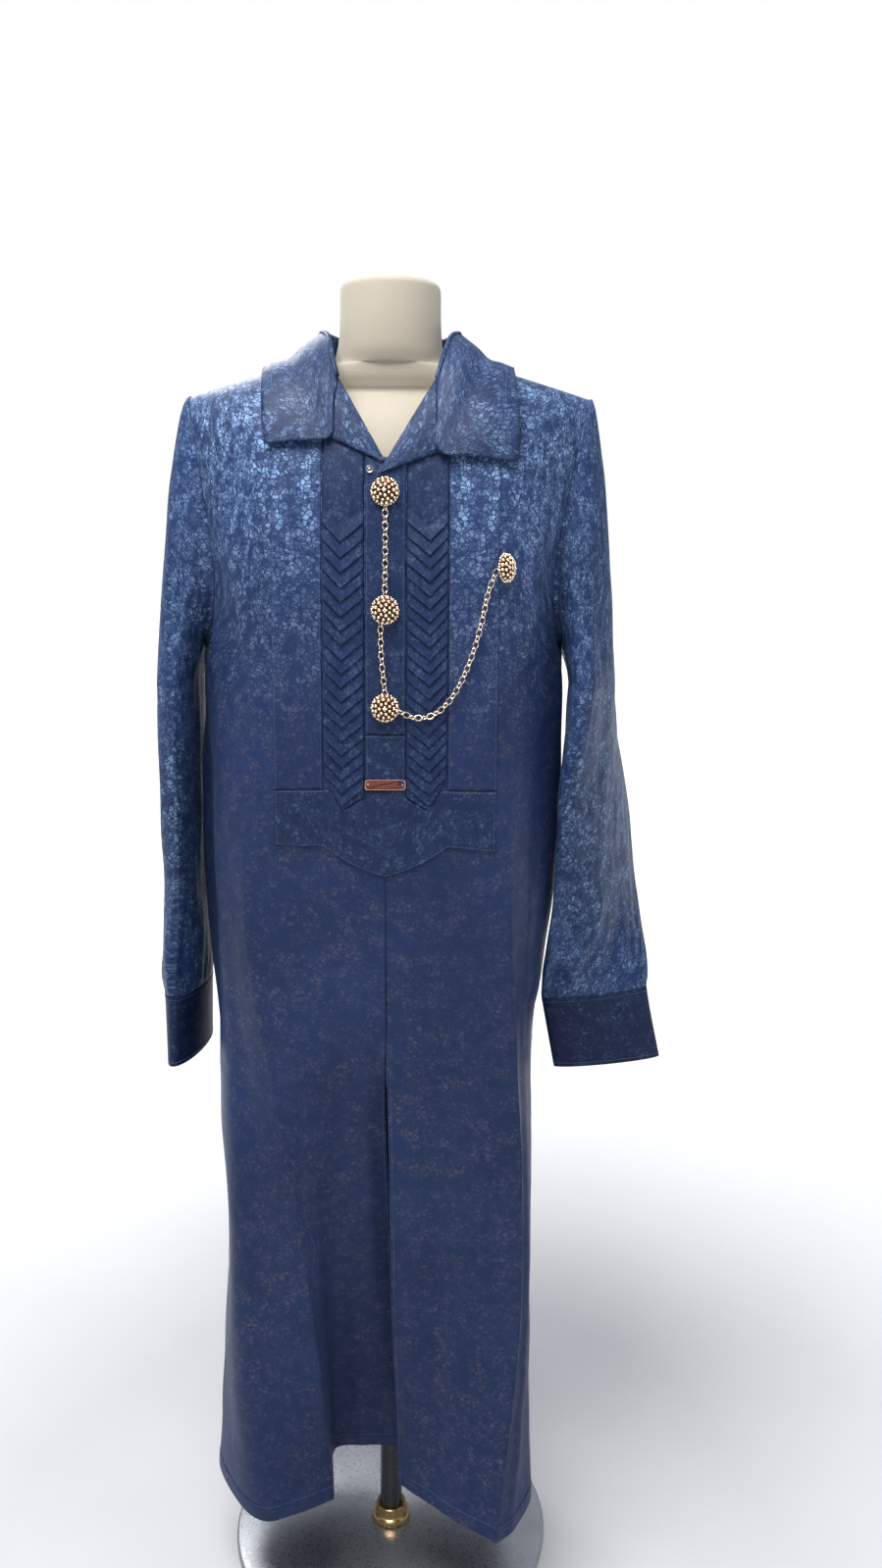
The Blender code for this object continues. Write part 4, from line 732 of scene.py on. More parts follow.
def body_panel(name, columns, mirrored, back, node):
    """One body panel, hem to shoulder, from its column positions."""
    columns = np.array(columns)
    flip = np.full(len(columns), mirrored) | (columns > 8.0)
    base = np.where(columns > 8.0, 16.0 - columns, columns)
    place = np.where(flip, 16.0 - base, base)
    hem = read_table(HEM, "z", place)
    drop = hem - ARMPIT_Z
    shares = list(np.linspace(0.0, 1.0, LOWER_LEVELS))
    shares += [0.0008, 0.0016, HEM_DEPTH / SKIRT_DROP, (HEM_DEPTH + 0.0012) / SKIRT_DROP]
    shares = np.array(sorted(shares))
    levels = [drop * (1.0 - share) for share in shares]
    lower_rows = len(levels)
    tops = neck_top(place)
    for step in range(1, UPPER_LEVELS + 1):
        levels.append(angle_level(90.0 * step / UPPER_LEVELS) * tops)
    grid = np.empty((len(levels), len(columns), 3))
    outward = np.empty_like(grid)
    for row, level in enumerate(levels):
        at = base.copy()
        if back:
            top = np.where(flip, VENT_TOPS[1.0], VENT_TOPS[-1.0])
            shift = VENT_SPREAD * ease((top - ARMPIT_Z - level) / VENT_OPENING_HEIGHT)
            at = at + shift * np.clip((7.0 - at) / 2.0, 0.0, 1.0) * (level <= 0.0)
        at = panel_place(at, level, back)
        at = np.where(flip, 16.0 - at, at)
        grid[row] = surface(at, level)
        outward[row] = cloth_normal(at, level)
        if row < lower_rows:
            turned_up = shares[row] * SKIRT_DROP < HEM_DEPTH + 0.0002
            grid[row] += outward[row] * (HEM_RISE if turned_up else 0.0)
    sides = (columns == columns[0]) | (columns == columns[-1])
    if not back:
        side = 1.0 if mirrored else -1.0
        closed = grid[:, 0, 2] > SLIT_TOP_Z
        grid[closed, 0, 0] = side * TRIM
        grid[:lower_rows, -1, 1] -= TRIM
        grid[-1, columns >= 2.0, 1] = -TRIM
    else:
        grid[:lower_rows, sides, 1] += TRIM
        grid[-1, (columns <= 7.0) | (columns >= 9.0), 1] = TRIM
    uv = cloth_uv(grid, lower_rows - 1) * ((-1.0, 1.0) if mirrored else (1.0, 1.0))
    mesh = cloth_mesh(name, grid, uv + (0.0, 1.7 if back else 0.0), outward)
    piece = new_piece(name, mesh, body_cloth, "jacquard", node)
    thicken(piece)
    return piece


front_columns = np.linspace(0.0, 5.0, 91)
back_columns = np.linspace(5.0, 11.0, 109)
body_panel("front_right_panel", front_columns, False, False, "front_right")
body_panel("front_left_panel", front_columns, True, False, "front_left")
body_panel("back_panel", back_columns, False, True, "back")


# Sleeves and cuffs: each sleeve is a tube set in at the armhole, full above the wrist, and its
# cuff a flat doubled band. Folds run down from the shoulder and wrinkles stand over the cuff.

SleeveRow = namedtuple("SleeveRow", "z x y long short turn rise")
SLEEVE_RIGHT = tuple(SleeveRow(*row) for row in (
    (1.000, 0.2140, 0.000, 0.096, 0.0180, 3.0, 0.00),
    (0.948, 0.2140, 0.000, 0.092, 0.0180, 3.0, 0.00),
    (0.860, 0.2150, 0.002, 0.085, 0.0172, 3.0, 0.00),
    (0.779, 0.2160, 0.004, 0.077, 0.0172, 2.0, 0.00),
    (0.720, 0.2180, 0.005, 0.070, 0.0195, -1.0, 0.00),
    (0.690, 0.2195, 0.005, 0.063, 0.0210, -4.0, 0.00),
    (0.669, 0.2200, 0.005, 0.057, 0.0200, -6.0, 0.00),
    (0.592, 0.2205, 0.005, 0.0575, 0.0155, -8.0, 0.00),
))
SLEEVE_LEFT = tuple(SleeveRow(*row) for row in (
    (1.000, 0.2080, 0.000, 0.098, 0.0225, 10.0, 0.00),
    (0.948, 0.2110, -0.002, 0.093, 0.0220, 18.0, 0.00),
    (0.889, 0.2150, -0.004, 0.087, 0.0200, 28.0, 0.00),
    (0.782, 0.2190, -0.010, 0.078, 0.0180, 39.0, 0.00),
    (0.722, 0.2180, -0.018, 0.070, 0.0170, 52.0, 0.03),
    (0.692, 0.2175, -0.024, 0.063, 0.0155, 67.0, 0.05),
    (0.6695, 0.2180, -0.026, 0.0580, 0.0135, 80.0, 0.06),
    (0.5915, 0.2335, -0.026, 0.0580, 0.0100, 83.0, 0.06),
))
UPPER_SHARES = (0.0, 0.04, 0.10, 0.20, 0.33, 0.47, 0.62, 0.78, 0.90, 1.0)
SLEEVE_BULGE = {-1.0: 0.0095, 1.0: 0.0060}
# Places are angles round the tube: 0 outermost, 90 at the front
SLEEVE_FOLDS_RIGHT = tuple(Fold(*row) for row in (
    (52.0, 45.0, 1.20, 0.68, 0.0042, 20.0), (84.0, 86.0, 1.15, 0.72, -0.0050, 20.0),
    (222.0, 230.0, 1.10, 0.70, 0.0045, 22.0), (310.0, 300.0, 1.18, 0.72, -0.0050, 26.0),
    (58.0, 50.0, 0.98, 0.67, 0.0026, 12.0), (100.0, 62.0, 0.90, 0.68, 0.0030, 13.0),
    (20.0, 12.0, 0.80, 0.665, -0.0030, 11.0), (70.0, 78.0, 0.75, 0.665, 0.0026, 9.0),
    (120.0, 112.0, 0.77, 0.665, -0.0030, 12.0), (160.0, 150.0, 0.77, 0.665, 0.0022, 13.0),
    (255.0, 262.0, 0.76, 0.665, -0.0028, 11.0), (330.0, 338.0, 0.78, 0.665, 0.0028, 11.0),
))
SLEEVE_FOLDS_LEFT = tuple(Fold(*row) for row in (
    (110.0, 60.0, 1.16, 0.78, 0.0055, 24.0), (30.0, 20.0, 1.22, 0.70, 0.0045, 24.0),
    (75.0, 45.0, 0.84, 0.66, -0.0055, 22.0), (230.0, 245.0, 1.10, 0.70, 0.0050, 28.0),
    (310.0, 300.0, 1.15, 0.72, -0.0050, 26.0),
    (55.0, 20.0, 1.10, 0.86, -0.0030, 13.0), (10.0, 40.0, 0.80, 0.668, 0.0034, 10.0),
    (70.0, 20.0, 0.76, 0.668, 0.0032, 9.0), (350.0, 355.0, 0.75, 0.668, -0.0028, 9.0),
    (100.0, 88.0, 0.74, 0.668, -0.0030, 10.0), (140.0, 120.0, 0.80, 0.668, 0.0030, 12.0),
    (190.0, 170.0, 0.78, 0.668, 0.0028, 12.0), (265.0, 275.0, 0.77, 0.668, 0.0028, 11.0),
))
SLEEVE_AROUND = 108
SEAM_RISE = 0.0012
ARMHOLE_LAP = 0.05
LAP_LIFTS = (0.0002, 0.0011)
CUFF_CLOTH = 0.0015
CAP_ROWS = 36
HANG_ROWS = 110
CUFF_ROWS = 20


def armhole(side, angles, inset=0.0):
    """Points along the armhole edge and their outward normals; angle 0 at the shoulder."""
    turn = angles % 360.0
    front = turn <= 180.0
    step = np.where(front, turn, 360.0 - turn) / 180.0 * (len(UPPER_SHARES) - 1)
    share = np.interp(len(UPPER_SHARES) - 1 - step, range(len(UPPER_SHARES)), UPPER_SHARES)
    level = angle_level(90.0 * share)
    base = front_edge(level) - inset
    base = np.where(front, base, 10.0 - base)
    place = 16.0 - base if side > 0 else base
    return surface(place, level), cloth_normal(place, level)


def hanging_ring(rows, side, angles, z):
    """Points round the hanging part of a sleeve or cuff."""
    def column(name):
        return float(read_table(rows, name, np.array([z]))[0])

    turn = math.radians(column("turn"))
    a = np.radians(angles)
    out = column("short") * np.cos(a)
    ahead = column("long") * np.sin(a)
    x = column("x") + math.cos(turn) * out - math.sin(turn) * ahead
    y = column("y") - math.sin(turn) * out - math.cos(turn) * ahead
    return np.stack([side * x, y, z + column("rise") * (x - column("x"))], axis=1)


def make_sleeve(word, rows, folds, side, cuff_top):
    angles = np.arange(SLEEVE_AROUND) * 360.0 / SLEEVE_AROUND
    start, start_normal = armhole(side, angles)
    start = start + start_normal * SEAM_RISE
    lap, lap_normal = armhole(side, angles, ARMHOLE_LAP)
    end = hanging_ring(rows, side, angles, rows[0].z)
    lines = [lap + lap_normal * lift for lift in LAP_LIFTS]
    for row in range(CAP_ROWS):
        share = row / CAP_ROWS
        line = start + (end - start) * share
        bulge = SLEEVE_BULGE[side] * math.sin(math.pi * share ** 0.6)
        line[:, 0] += side * bulge * np.maximum(0.25, np.cos(np.radians(angles)))
        lines.append(line)
    for row in range(HANG_ROWS + 1):
        share = row / HANG_ROWS
        z = rows[0].z + (cuff_top + SEAM_GAP - rows[0].z) * share ** 0.9
        lines.append(hanging_ring(rows, side, angles, z))
    grid = np.array(lines)
    outward = grid_normals(grid, tube=True)
    centre = grid.mean(axis=1, keepdims=True)
    if (outward * (grid - centre)).sum() < 0.0:
        outward = -outward
    ramp = np.clip((np.arange(len(grid)) - 2) / 10.0, 0.0, 1.0)
    ramp *= np.clip((len(grid) - 1 - np.arange(len(grid))) / 3.0, 0.0, 1.0)
    rise = fold_rise(folds, angles[None, :], grid[:, :, 2], 360.0)
    rise += ripple(angles[None, :] * 0.05, grid[:, :, 2], 0.0005)
    grid = grid + outward * (rise * ramp[:, None])[:, :, None]
    name = word + "_sleeve"
    ring_map = cloth_uv(grid, CAP_ROWS + 2, tube=True)
    turn = math.radians(rows[0].turn)
    x, y = side * grid[:CAP_ROWS + 2, :, 0] - rows[0].x, grid[:CAP_ROWS + 2, :, 1] - rows[0].y
    out, ahead = math.cos(turn) * x - math.sin(turn) * y, -math.sin(turn) * x - math.cos(turn) * y
    seen = np.degrees(np.arctan2(ahead / rows[0].long, out / rows[0].short))
    seen = angles + (seen - angles + 180.0) % 360.0 - 180.0
    around = np.interp(seen, np.append(angles, 360.0), ring_map[0, :, 0])
    uv = ring_map.copy()
    uv[:CAP_ROWS + 2, :-1, 0] = around
    uv[:CAP_ROWS + 2, -1, 0] = around[:, 0] + ring_map[0, -1, 0]
    uv[:, :-1, 1] = -grid[:, :, 2]
    uv[:, -1, 1] = -grid[:, 0, 2]
    piece = new_piece(name, cloth_mesh(name, grid, uv, outward, tube=True), sleeve_cloth,
                      "jacquard", "sleeve_" + word)
    thicken(piece)
    cuff_lines = [hanging_ring(rows, side, angles, z)
                  for z in np.linspace(cuff_top, rows[-1].z, CUFF_ROWS)]
    cuff_grid = np.array(cuff_lines)
    cuff_out = cuff_grid - cuff_grid.mean(axis=1, keepdims=True)
    cuff_uv = cloth_uv(cuff_grid, 0, tube=True)
    cuff_name = word + "_cuff"
    cuff = new_piece(cuff_name, cloth_mesh(cuff_name, cuff_grid, cuff_uv, cuff_out, tube=True),
                     cuff_cloth, "jacquard", "cuff_" + word)
    thicken(cuff, CUFF_CLOTH)
    return cuff_grid, cuff_out


cuff_cloth = jacquard("cuff_jacquard", 0.12, (0.0032, 0.0090, 0.0400), MOTIF)
right_cuff, right_out = make_sleeve("right", SLEEVE_RIGHT, SLEEVE_FOLDS_RIGHT, -1.0, 0.669)
left_cuff, left_out = make_sleeve("left", SLEEVE_LEFT, SLEEVE_FOLDS_LEFT, 1.0, 0.6695)


# Bib: two strips of jacquard, two tucked panels, the placket, its plain foot and the pointed
# band, all folded under at their edges and sewn onto the fronts. Each is made from the front's
# own points, moved out by what lies under it.

PLACKET_HALF = 0.0190
PLEAT_INNER = 0.0196
PLEAT_APEX = 0.0415
PLEAT_OUTER = 0.0590
BIB_HALF = 0.1060
PLACKET_SEAM_Z = 0.956
BAR_Z = 0.9085
BAR_SIZE = (0.0386, 0.0100, 0.0016)
BAND_TOP_Z = 0.9030
PLEAT_POINT_Z = 0.8830
PLEAT_INNER_Z = 0.8960
PLEAT_OUTER_Z = 0.9170
BAND_POINT_Z = 0.8170
BAND_SHOULDER = (0.0600, 0.8465)
BAND_CORNER_Z = {-1.0: 0.8480, 1.0: 0.8430}
BAND_SWAY = 0.0040
FIRST_TUCK_Z = 1.165
TUCK_DROP = 0.0180
TUCK_RISE = 0.0022
BIB_LIFT = 0.0017
BIB_CLOTH = 0.0005
TUCK_CLOTH = 0.0004
TUCK_FLOOR = 0.0011
EDGE_LIFT = 0.0002
FRONTS = ["front_right_panel", "front_left_panel"]
PLACKET_LIFT = 0.0023
LAPEL_PEAK = {-1.0: (0.0505, 1.2280), 1.0: (0.0486, 1.2158)}
COLLAR_POINT = {-1.0: (0.1110, 1.2210), 1.0: (0.1200, 1.2063)}


def place_across(x, level, back=False):
    """Places of the surface points that far across, on the front or on the back."""
    x, level = evened(x, level)
    cuts = sections(ARMPIT_Z + np.minimum(level, 0.0))
    if back is not False:
        on_back = np.broadcast_to(back, x.shape)
    else:
        on_back = np.zeros(x.shape, bool)
    low = np.where(on_back, 5.5, np.where(x <= 0.0, 0.0, 12.0))
    high = np.where(on_back, 10.5, np.where(x <= 0.0, 4.0, 16.0))
    sign = np.where(on_back, 1.0, -1.0)
    return solve(low, high, lambda t: sign * (surface(t, level, cuts)[:, 0] - x))


def front_point(x, z, lift):
    """Points above the front at places across and heights, moved out by the lift."""
    shape = np.broadcast(x, z, lift).shape
    x, z, lift = evened(x, z, lift)
    level = np.where(z <= ARMPIT_Z, z - ARMPIT_Z, (z - ARMPIT_Z) / (shoulder_z(x) - ARMPIT_Z))
    place = place_across(x, level)
    normal = cloth_normal(place, level)
    normal[:, 0] *= ease(np.abs(x) / 0.03)
    normal = unit(normal)
    return (surface(place, level) + normal * lift[:, None]).reshape(*shape, 3)


def between(x, x0, z0, x1, z1):
    return z0 + (z1 - z0) * np.clip((x - x0) / (x1 - x0), 0.0, 1.0)


def pleat_bottom(distance):
    """Lower end of a tucked panel: a slanting cut with its point near the middle."""
    return np.where(distance >= PLEAT_APEX,
                    between(distance, PLEAT_APEX, PLEAT_POINT_Z, PLEAT_OUTER, PLEAT_OUTER_Z),
                    between(distance, PLEAT_INNER, PLEAT_INNER_Z, PLEAT_APEX, PLEAT_POINT_Z))


def lapel_edge(side, distance):
    """Lower edge of lapel and collar leaf above a point of the bib."""
    peak = LAPEL_PEAK[side]
    point = COLLAR_POINT[side]
    return np.where(distance <= peak[0],
                    between(distance, 0.002, V_BOTTOM_Z - 0.001, peak[0], peak[1]),
                    between(distance, peak[0], peak[1], point[0], point[1]))


def front_cloth(name, grid, map_row, cloth, slot, node, thickness, **cut):
    """Sheet of cloth on the front, from its grid of points; returns the grid."""
    facing = np.zeros_like(grid)
    facing[:, :, 1] = -1.0
    mesh = cloth_mesh(name, grid, cloth_uv(grid, map_row), facing)
    piece = new_piece(name, mesh, cloth, slot, node)
    thicken(piece, thickness)
    return grid


def sewn_on(name, x, z, lift, node, flat, area=None, cloth=None, border=0.0007):
    """Piece on the front whose folded edges come down to the cloth below."""
    rows, columns = x.shape
    lift = np.broadcast_to(lift, x.shape)
    twice = [0, 0, *range(1, columns - 1), columns - 1, columns - 1]
    x, z, lift = x[:, twice], z[:, twice], lift[:, twice]
    x[:, 1] += border * np.sign(x[:, 2] - x[:, 1])
    x[:, -2] -= border * np.sign(x[:, -2] - x[:, -3])
    up = np.sign(z[1] - z[0]) * border
    twice = [0, 0, *range(1, rows - 1), rows - 1, rows - 1]
    x, z, lift = x[twice], z[twice], lift[twice]
    z[1] += up
    z[-2] -= up
    lift[:, 0] = lift[:, -1] = lift[0] = lift[-1] = EDGE_LIFT
    front_cloth(name, front_point(x, z, lift), 0, cloth or pressed_cloth, "bib_cloth", node,
                BIB_CLOTH, flat=flat, held="laid", rests_on=FRONTS, area=area)


def band_top(x):
    distance = np.abs(x)
    tucks = np.minimum(BAND_TOP_Z, pleat_bottom(np.maximum(distance, PLEAT_INNER)) - SEAM_GAP)
    top = np.where(distance >= PLEAT_OUTER, BAND_TOP_Z, tucks)
    return np.where(distance > PLACKET_HALF, top, BAR_Z - BAR_SIZE[1] / 2.0 - SEAM_GAP)


def band_bottom(x):
    distance = np.abs(x)
    corner = np.where(x < 0.0, BAND_CORNER_Z[-1.0], BAND_CORNER_Z[1.0])
    outer = between(distance, BAND_SHOULDER[0], BAND_SHOULDER[1], BIB_HALF, corner)
    inner = between(distance, 0.0, BAND_POINT_Z, BAND_SHOULDER[0], BAND_SHOULDER[1])
    inner = inner - BAND_SWAY * np.sin(math.pi * np.clip(distance / BAND_SHOULDER[0], 0.0, 1.0))
    return np.where(distance > BAND_SHOULDER[0], outer, inner)


half_band = [0.0, 0.004, 0.0092, 0.014, PLACKET_HALF - 0.0002, PLACKET_HALF + 0.0002, 0.024,
             0.030, 0.036, PLEAT_APEX, 0.046, 0.0503, 0.055, PLEAT_OUTER, 0.0600, 0.066, 0.074,
             0.083, 0.091, 0.099, BIB_HALF]
band_x = np.array([-x for x in reversed(half_band[1:])] + half_band)
shares = np.linspace(0.0, 1.0, 16)[:, None]
band_z = band_bottom(band_x) + (band_top(band_x) - band_bottom(band_x)) * shares
sewn_on("pointed_band", band_x * np.ones_like(shares), band_z, BIB_LIFT, "band",
        (0.232, 0.106), 0.0165)

for word, side in (("right", -1.0), ("left", 1.0)):
    strip_x = side * np.linspace(PLEAT_OUTER + 0.0006, BIB_HALF, 14) * np.ones((90, 1))
    low_z = BAND_TOP_Z + SEAM_GAP
    high_z = lapel_edge(side, np.abs(strip_x)) + 0.012
    strip_z = low_z + (high_z - low_z) * np.linspace(0.0, 1.0, 90)[:, None]
    sewn_on(f"bib_strip_{word}", strip_x, strip_z, BIB_LIFT, f"bib_{word}", (0.055, 0.34), 0.0175,
            body_cloth)

placket_x = np.linspace(-PLACKET_HALF, PLACKET_HALF, 13) * np.ones((80, 1))
placket_z = PLACKET_SEAM_Z + SEAM_GAP + (V_BOTTOM_Z + 0.004 - PLACKET_SEAM_Z) * np.linspace(
    0.0, 1.0, 80)[:, None] * np.ones_like(placket_x)
sewn_on("placket_band", placket_x, placket_z, PLACKET_LIFT, "placket", (0.060, 0.27), 0.0115)
foot_z = BAR_Z - 0.002 + (PLACKET_SEAM_Z - BAR_Z + 0.002) * np.linspace(
    0.0, 1.0, 20)[:, None] * np.ones((1, 13))
sewn_on("placket_end", placket_x[:20], foot_z, BIB_LIFT + 0.0002, "placket_foot",
        (0.044, 0.055), 0.0021)


def chevron(distance):
    """Fall of a tuck below its ends: nothing at the panel's edges, most at the point."""
    rising = np.clip((distance - PLEAT_INNER) / (PLEAT_APEX - PLEAT_INNER), 0.0, 1.0)
    falling = np.clip((PLEAT_OUTER - distance) / (PLEAT_OUTER - PLEAT_APEX), 0.0, 1.0)
    return TUCK_DROP * np.where(distance < PLEAT_APEX, rising, falling)


# One tuck's outline, from under the tuck above down to its own lip: share of the pitch, rise
TUCK_OUTLINE = ((-0.10, 0.05), (0.02, 0.12), (0.25, 0.34), (0.50, 0.55), (0.74, 0.75), (0.92, 0.92),
                (0.99, 1.00), (1.02, 0.84), (1.00, 0.40))


def tucked_panel(word, side, tucks, pitch_top, pitch_bottom):
    """Panel of pressed tucks in points: each lies over the next and is caught at the sides."""
    distances = np.unique(np.concatenate([
        np.linspace(PLEAT_INNER, PLEAT_APEX, 15), np.linspace(PLEAT_APEX, PLEAT_OUTER, 13)]))
    fall = chevron(distances)
    floor = pleat_bottom(distances) + 0.0002
    lines = []
    ceiling = lapel_edge(side, distances) + 0.010
    for share in np.linspace(0.0, 0.93, 22):
        first = FIRST_TUCK_Z - fall
        lines.append((ceiling + (first - ceiling) * share, np.full(len(distances), 0.35)))
    drop = 0.0
    wobble = np.random.default_rng(11 + tucks)
    for tuck in range(tucks):
        pitch = pitch_top + (pitch_bottom - pitch_top) * tuck / (tucks - 1)
        uneven = wobble.uniform(-0.05, 0.05)
        tilt = wobble.uniform(-0.0004, 0.0004)
        for share, height in TUCK_OUTLINE:
            z = FIRST_TUCK_Z - drop - fall - (share - 0.10 + uneven * (0.2 < share)) * pitch
            z = z + tilt * (distances - PLEAT_APEX) / 0.02
            lines.append((z, np.full(len(distances), height)))
        drop += pitch
    rows_z = []
    rows_lift = []
    caught = ease(np.minimum(distances - PLEAT_INNER, PLEAT_OUTER - distances) / 0.0016)
    for z, height in lines:
        z = np.maximum(z, floor)
        flat = z <= floor + 1e-9
        lift = TUCK_FLOOR + TUCK_RISE * height * (0.45 + 0.55 * caught)
        lift = np.where(flat, TUCK_FLOOR, lift)
        rows_z.append(z)
        rows_lift.append(lift)
    z = np.array(rows_z)
    lift = np.array(rows_lift)
    x = side * distances[None, :] * np.ones_like(z)
    keep = [0] + [i for i in range(1, len(z)) if np.abs(z[i] - z[i - 1]).max() > 1e-6]
    x, z, lift = x[keep], z[keep], lift[keep]
    lift[-1] = lift[:, 0] = lift[:, -1] = EDGE_LIFT
    front_cloth(f"tucked_panel_{word}", front_point(x, z, lift), 0, pressed_cloth, "bib_cloth",
                f"pleats_{word}", TUCK_CLOTH, flat=(0.050, 0.62), held="folded", rests_on=FRONTS,
                area=0.018)


tucked_panel("right", -1.0, 22, 0.0140, 0.0118)
tucked_panel("left", 1.0, 24, 0.0125, 0.0110)


# Camp collar and lapels: the collar is one piece that stands behind the neck, rolls over and
# falls onto the shoulders; the lapels are the fronts' own facings turned back along the V.

CollarRow = namedtuple("CollarRow", "place stand mid_x mid_angle outer_x outer_angle")
COLLAR_RIGHT = tuple(CollarRow(*row) for row in (
    (0.00, 0.0045, 0.0505, 38.4, 0.1110, 39.9),
    (0.22, 0.0140, 0.0720, 48.8, 0.1150, 49.5),
    (0.42, 0.0220, 0.0920, 77.7, 0.1190, 74.7),
    (0.58, 0.0270, 0.0950, 94.5, 0.1180, 96.7),
    (0.76, 0.0300, 0.0790, 116.0, 0.0950, 125.0),
    (0.90, 0.0320, 0.0430, 126.5, 0.0500, 135.0),
    (1.00, 0.0330, 0.0000, 128.8, 0.0000, 137.7),
))
COLLAR_LEFT = (CollarRow(0.00, 0.0045, 0.0486, 34.9, 0.1200, 36.0),
               CollarRow(0.22, 0.0140, 0.0720, 46.5, 0.1230, 46.0), *COLLAR_RIGHT[2:])
LEAF_LIFT = (0.0066, 0.0056)
LEAF_BREAK = 0.55
ROLL_RADIUS = 0.0032
COLLAR_CLOTH = 0.0012
COLLAR_RISE = 0.0014
LAPEL_CLOTH = 0.0010
SEAM_LIFT = 0.0006


def draped_point(x, angle, lift):
    """Points over chest, shoulder or back: how far across, and the angle over the shoulder."""
    level = angle_level(angle)
    place = place_across(x, level, angle > 90.0)
    return surface(place, level) + cloth_normal(place, level) * np.reshape(lift, (-1, 1))


def collar_skin(side, shares):
    """Underside of the collar: for each station, points from the neck seam to the free edge."""
    rows = COLLAR_RIGHT if side < 0 else COLLAR_LEFT

    def column(name):
        return read_table(rows, name, shares)

    behind = shares > 0.5
    place = np.where(behind, 7.0 + (shares - 0.5) * 2.0,
                     V_TOP_PLACE + (2.0 - V_TOP_PLACE) * shares * 2.0)
    if side > 0:
        place = 16.0 - place
    level = neck_top(place)
    base = surface(place, level)
    normal = cloth_normal(place, level)
    angle = np.degrees(np.arcsin(np.clip(level, 0.0, 1.0) ** (CHEST_ROUNDNESS / 2.0)))
    angle = np.where(behind, 180.0 - angle, angle)
    share = ease(shares / 0.35)[:, None]
    upright = unit(normal * (1.0 - share) + np.array([0.0, 0.0, 1.0]) * share)
    mid = draped_point(side * column("mid_x"), column("mid_angle"),
                       np.full(len(shares), LEAF_LIFT[0]))
    away = mid - base
    away = unit(away - upright * (away * upright).sum(axis=1, keepdims=True))
    foot = base + normal * SEAM_LIFT
    stand = column("stand")[:, None]
    roll = ROLL_RADIUS
    shape = ((0.0, 0.0), (stand - roll, 0.0), (stand - 0.3 * roll, 0.3 * roll), (stand, roll),
             (stand - 0.3 * roll, 1.7 * roll), (stand - roll, 2.0 * roll))
    points = [foot + upright * rise + away * out for rise, out in shape]
    points.append(draped_point(
        base[:, 0] + (side * column("mid_x") - base[:, 0]) * LEAF_BREAK,
        angle + (column("mid_angle") - angle) * LEAF_BREAK,
        stand[:, 0] + (LEAF_LIFT[0] - stand[:, 0]) * LEAF_BREAK))
    points.append(mid)
    points.append(draped_point(side * (column("mid_x") + column("outer_x")) / 2.0,
                               (column("mid_angle") + column("outer_angle")) / 2.0,
                               np.full(len(shares), LEAF_LIFT[0])))
    points.append(draped_point(side * column("outer_x"), column("outer_angle"),
                               np.full(len(shares), LEAF_LIFT[1])))
    return np.array([smooth_through(line, 5) for line in np.array(points).transpose(1, 0, 2)])


stations = np.linspace(0.0, 1.0, 70)
skin = np.concatenate([collar_skin(-1.0, stations), collar_skin(1.0, stations[:-1][::-1])])
collar_out = grid_normals(skin)
if collar_out[:, -3, 2].sum() < 0.0:
    collar_out = -collar_out
collar_top = skin + collar_out * COLLAR_RISE
collar_cloth = jacquard("collar_jacquard", 0.42, (0.0080, 0.0185, 0.0620), MOTIF)
fall = np.concatenate([np.zeros((len(skin), 1)), np.cumsum(
    np.linalg.norm(np.diff(collar_top, axis=1), axis=2), axis=1)], axis=1)
round_neck = np.concatenate([[0.0], np.cumsum(
    np.linalg.norm(np.diff(collar_top[:, -12], axis=0), axis=1))])
collar_map = np.stack([fall, np.broadcast_to(round_neck[:, None], fall.shape)], axis=2)
piece = new_piece("camp_collar", cloth_mesh("camp_collar", collar_top, collar_map, collar_out),
                  collar_cloth, "jacquard", "collar")
thicken(piece, COLLAR_CLOTH)

lapel_edges = {}
for word, side in (("right", -1.0), ("left", 1.0)):
    peak = LAPEL_PEAK[side]
    share = np.linspace(0.0, 1.0, 34)[:, None]
    across = np.linspace(0.0, 1.0, 18)[None, :]
    roll_x = 0.0006 + (V_TOP[0] - 0.0018) * share
    start_x, start_z = (0.0026, V_BOTTOM_Z - 0.0010) if side < 0 else (-0.0085, V_BOTTOM_Z - 0.0125)
    low_x = start_x + (peak[0] - 0.0010 - start_x) * share
    low_z = start_z + (peak[1] - start_z) * share
    x = roll_x + (low_x - roll_x) * across
    z = v_line(roll_x) - 0.0004 + (low_z - v_line(roll_x) + 0.0004) * across
    lift = 0.0012 + 0.0034 * ease(across * 2.2) + 0.0010 * np.sin(math.pi * across) * share
    lift = lift + (0.0012 if side > 0 else 0.0) * (1.0 - share)
    lapel_edges[side] = front_cloth(
        f"lapel_leaf_{word}", front_point(side * x, z, lift), 17, collar_cloth, "jacquard",
        f"lapel_{word}", LAPEL_CLOTH, flat=(0.075, 0.095), held="folded",
        rests_on=["placket_band"], area=0.0022)


# Topstitching: short even stitches of blue thread along the placket, bib, band, lapels, collar,
# cuffs, hems, vents and slit. Each run is a line on the cloth with a stitch repeated along it.

STITCH_LENGTH = 0.0021
STITCH_PITCH = 0.0029
THREAD_RADIUS = 0.00022


def path_object(name, routes):
    """Curve with one open run for each route."""
    curve = bpy.data.curves.new(name, "CURVE")
    curve.dimensions = "3D"
    for route in routes:
        run = curve.splines.new("POLY")
        run.points.add(len(route) - 1)
        run.points.foreach_set("co", np.concatenate(
            [np.asarray(route), np.ones((len(route), 1))], axis=1).astype(np.float32).ravel())
    return placed(name, curve)


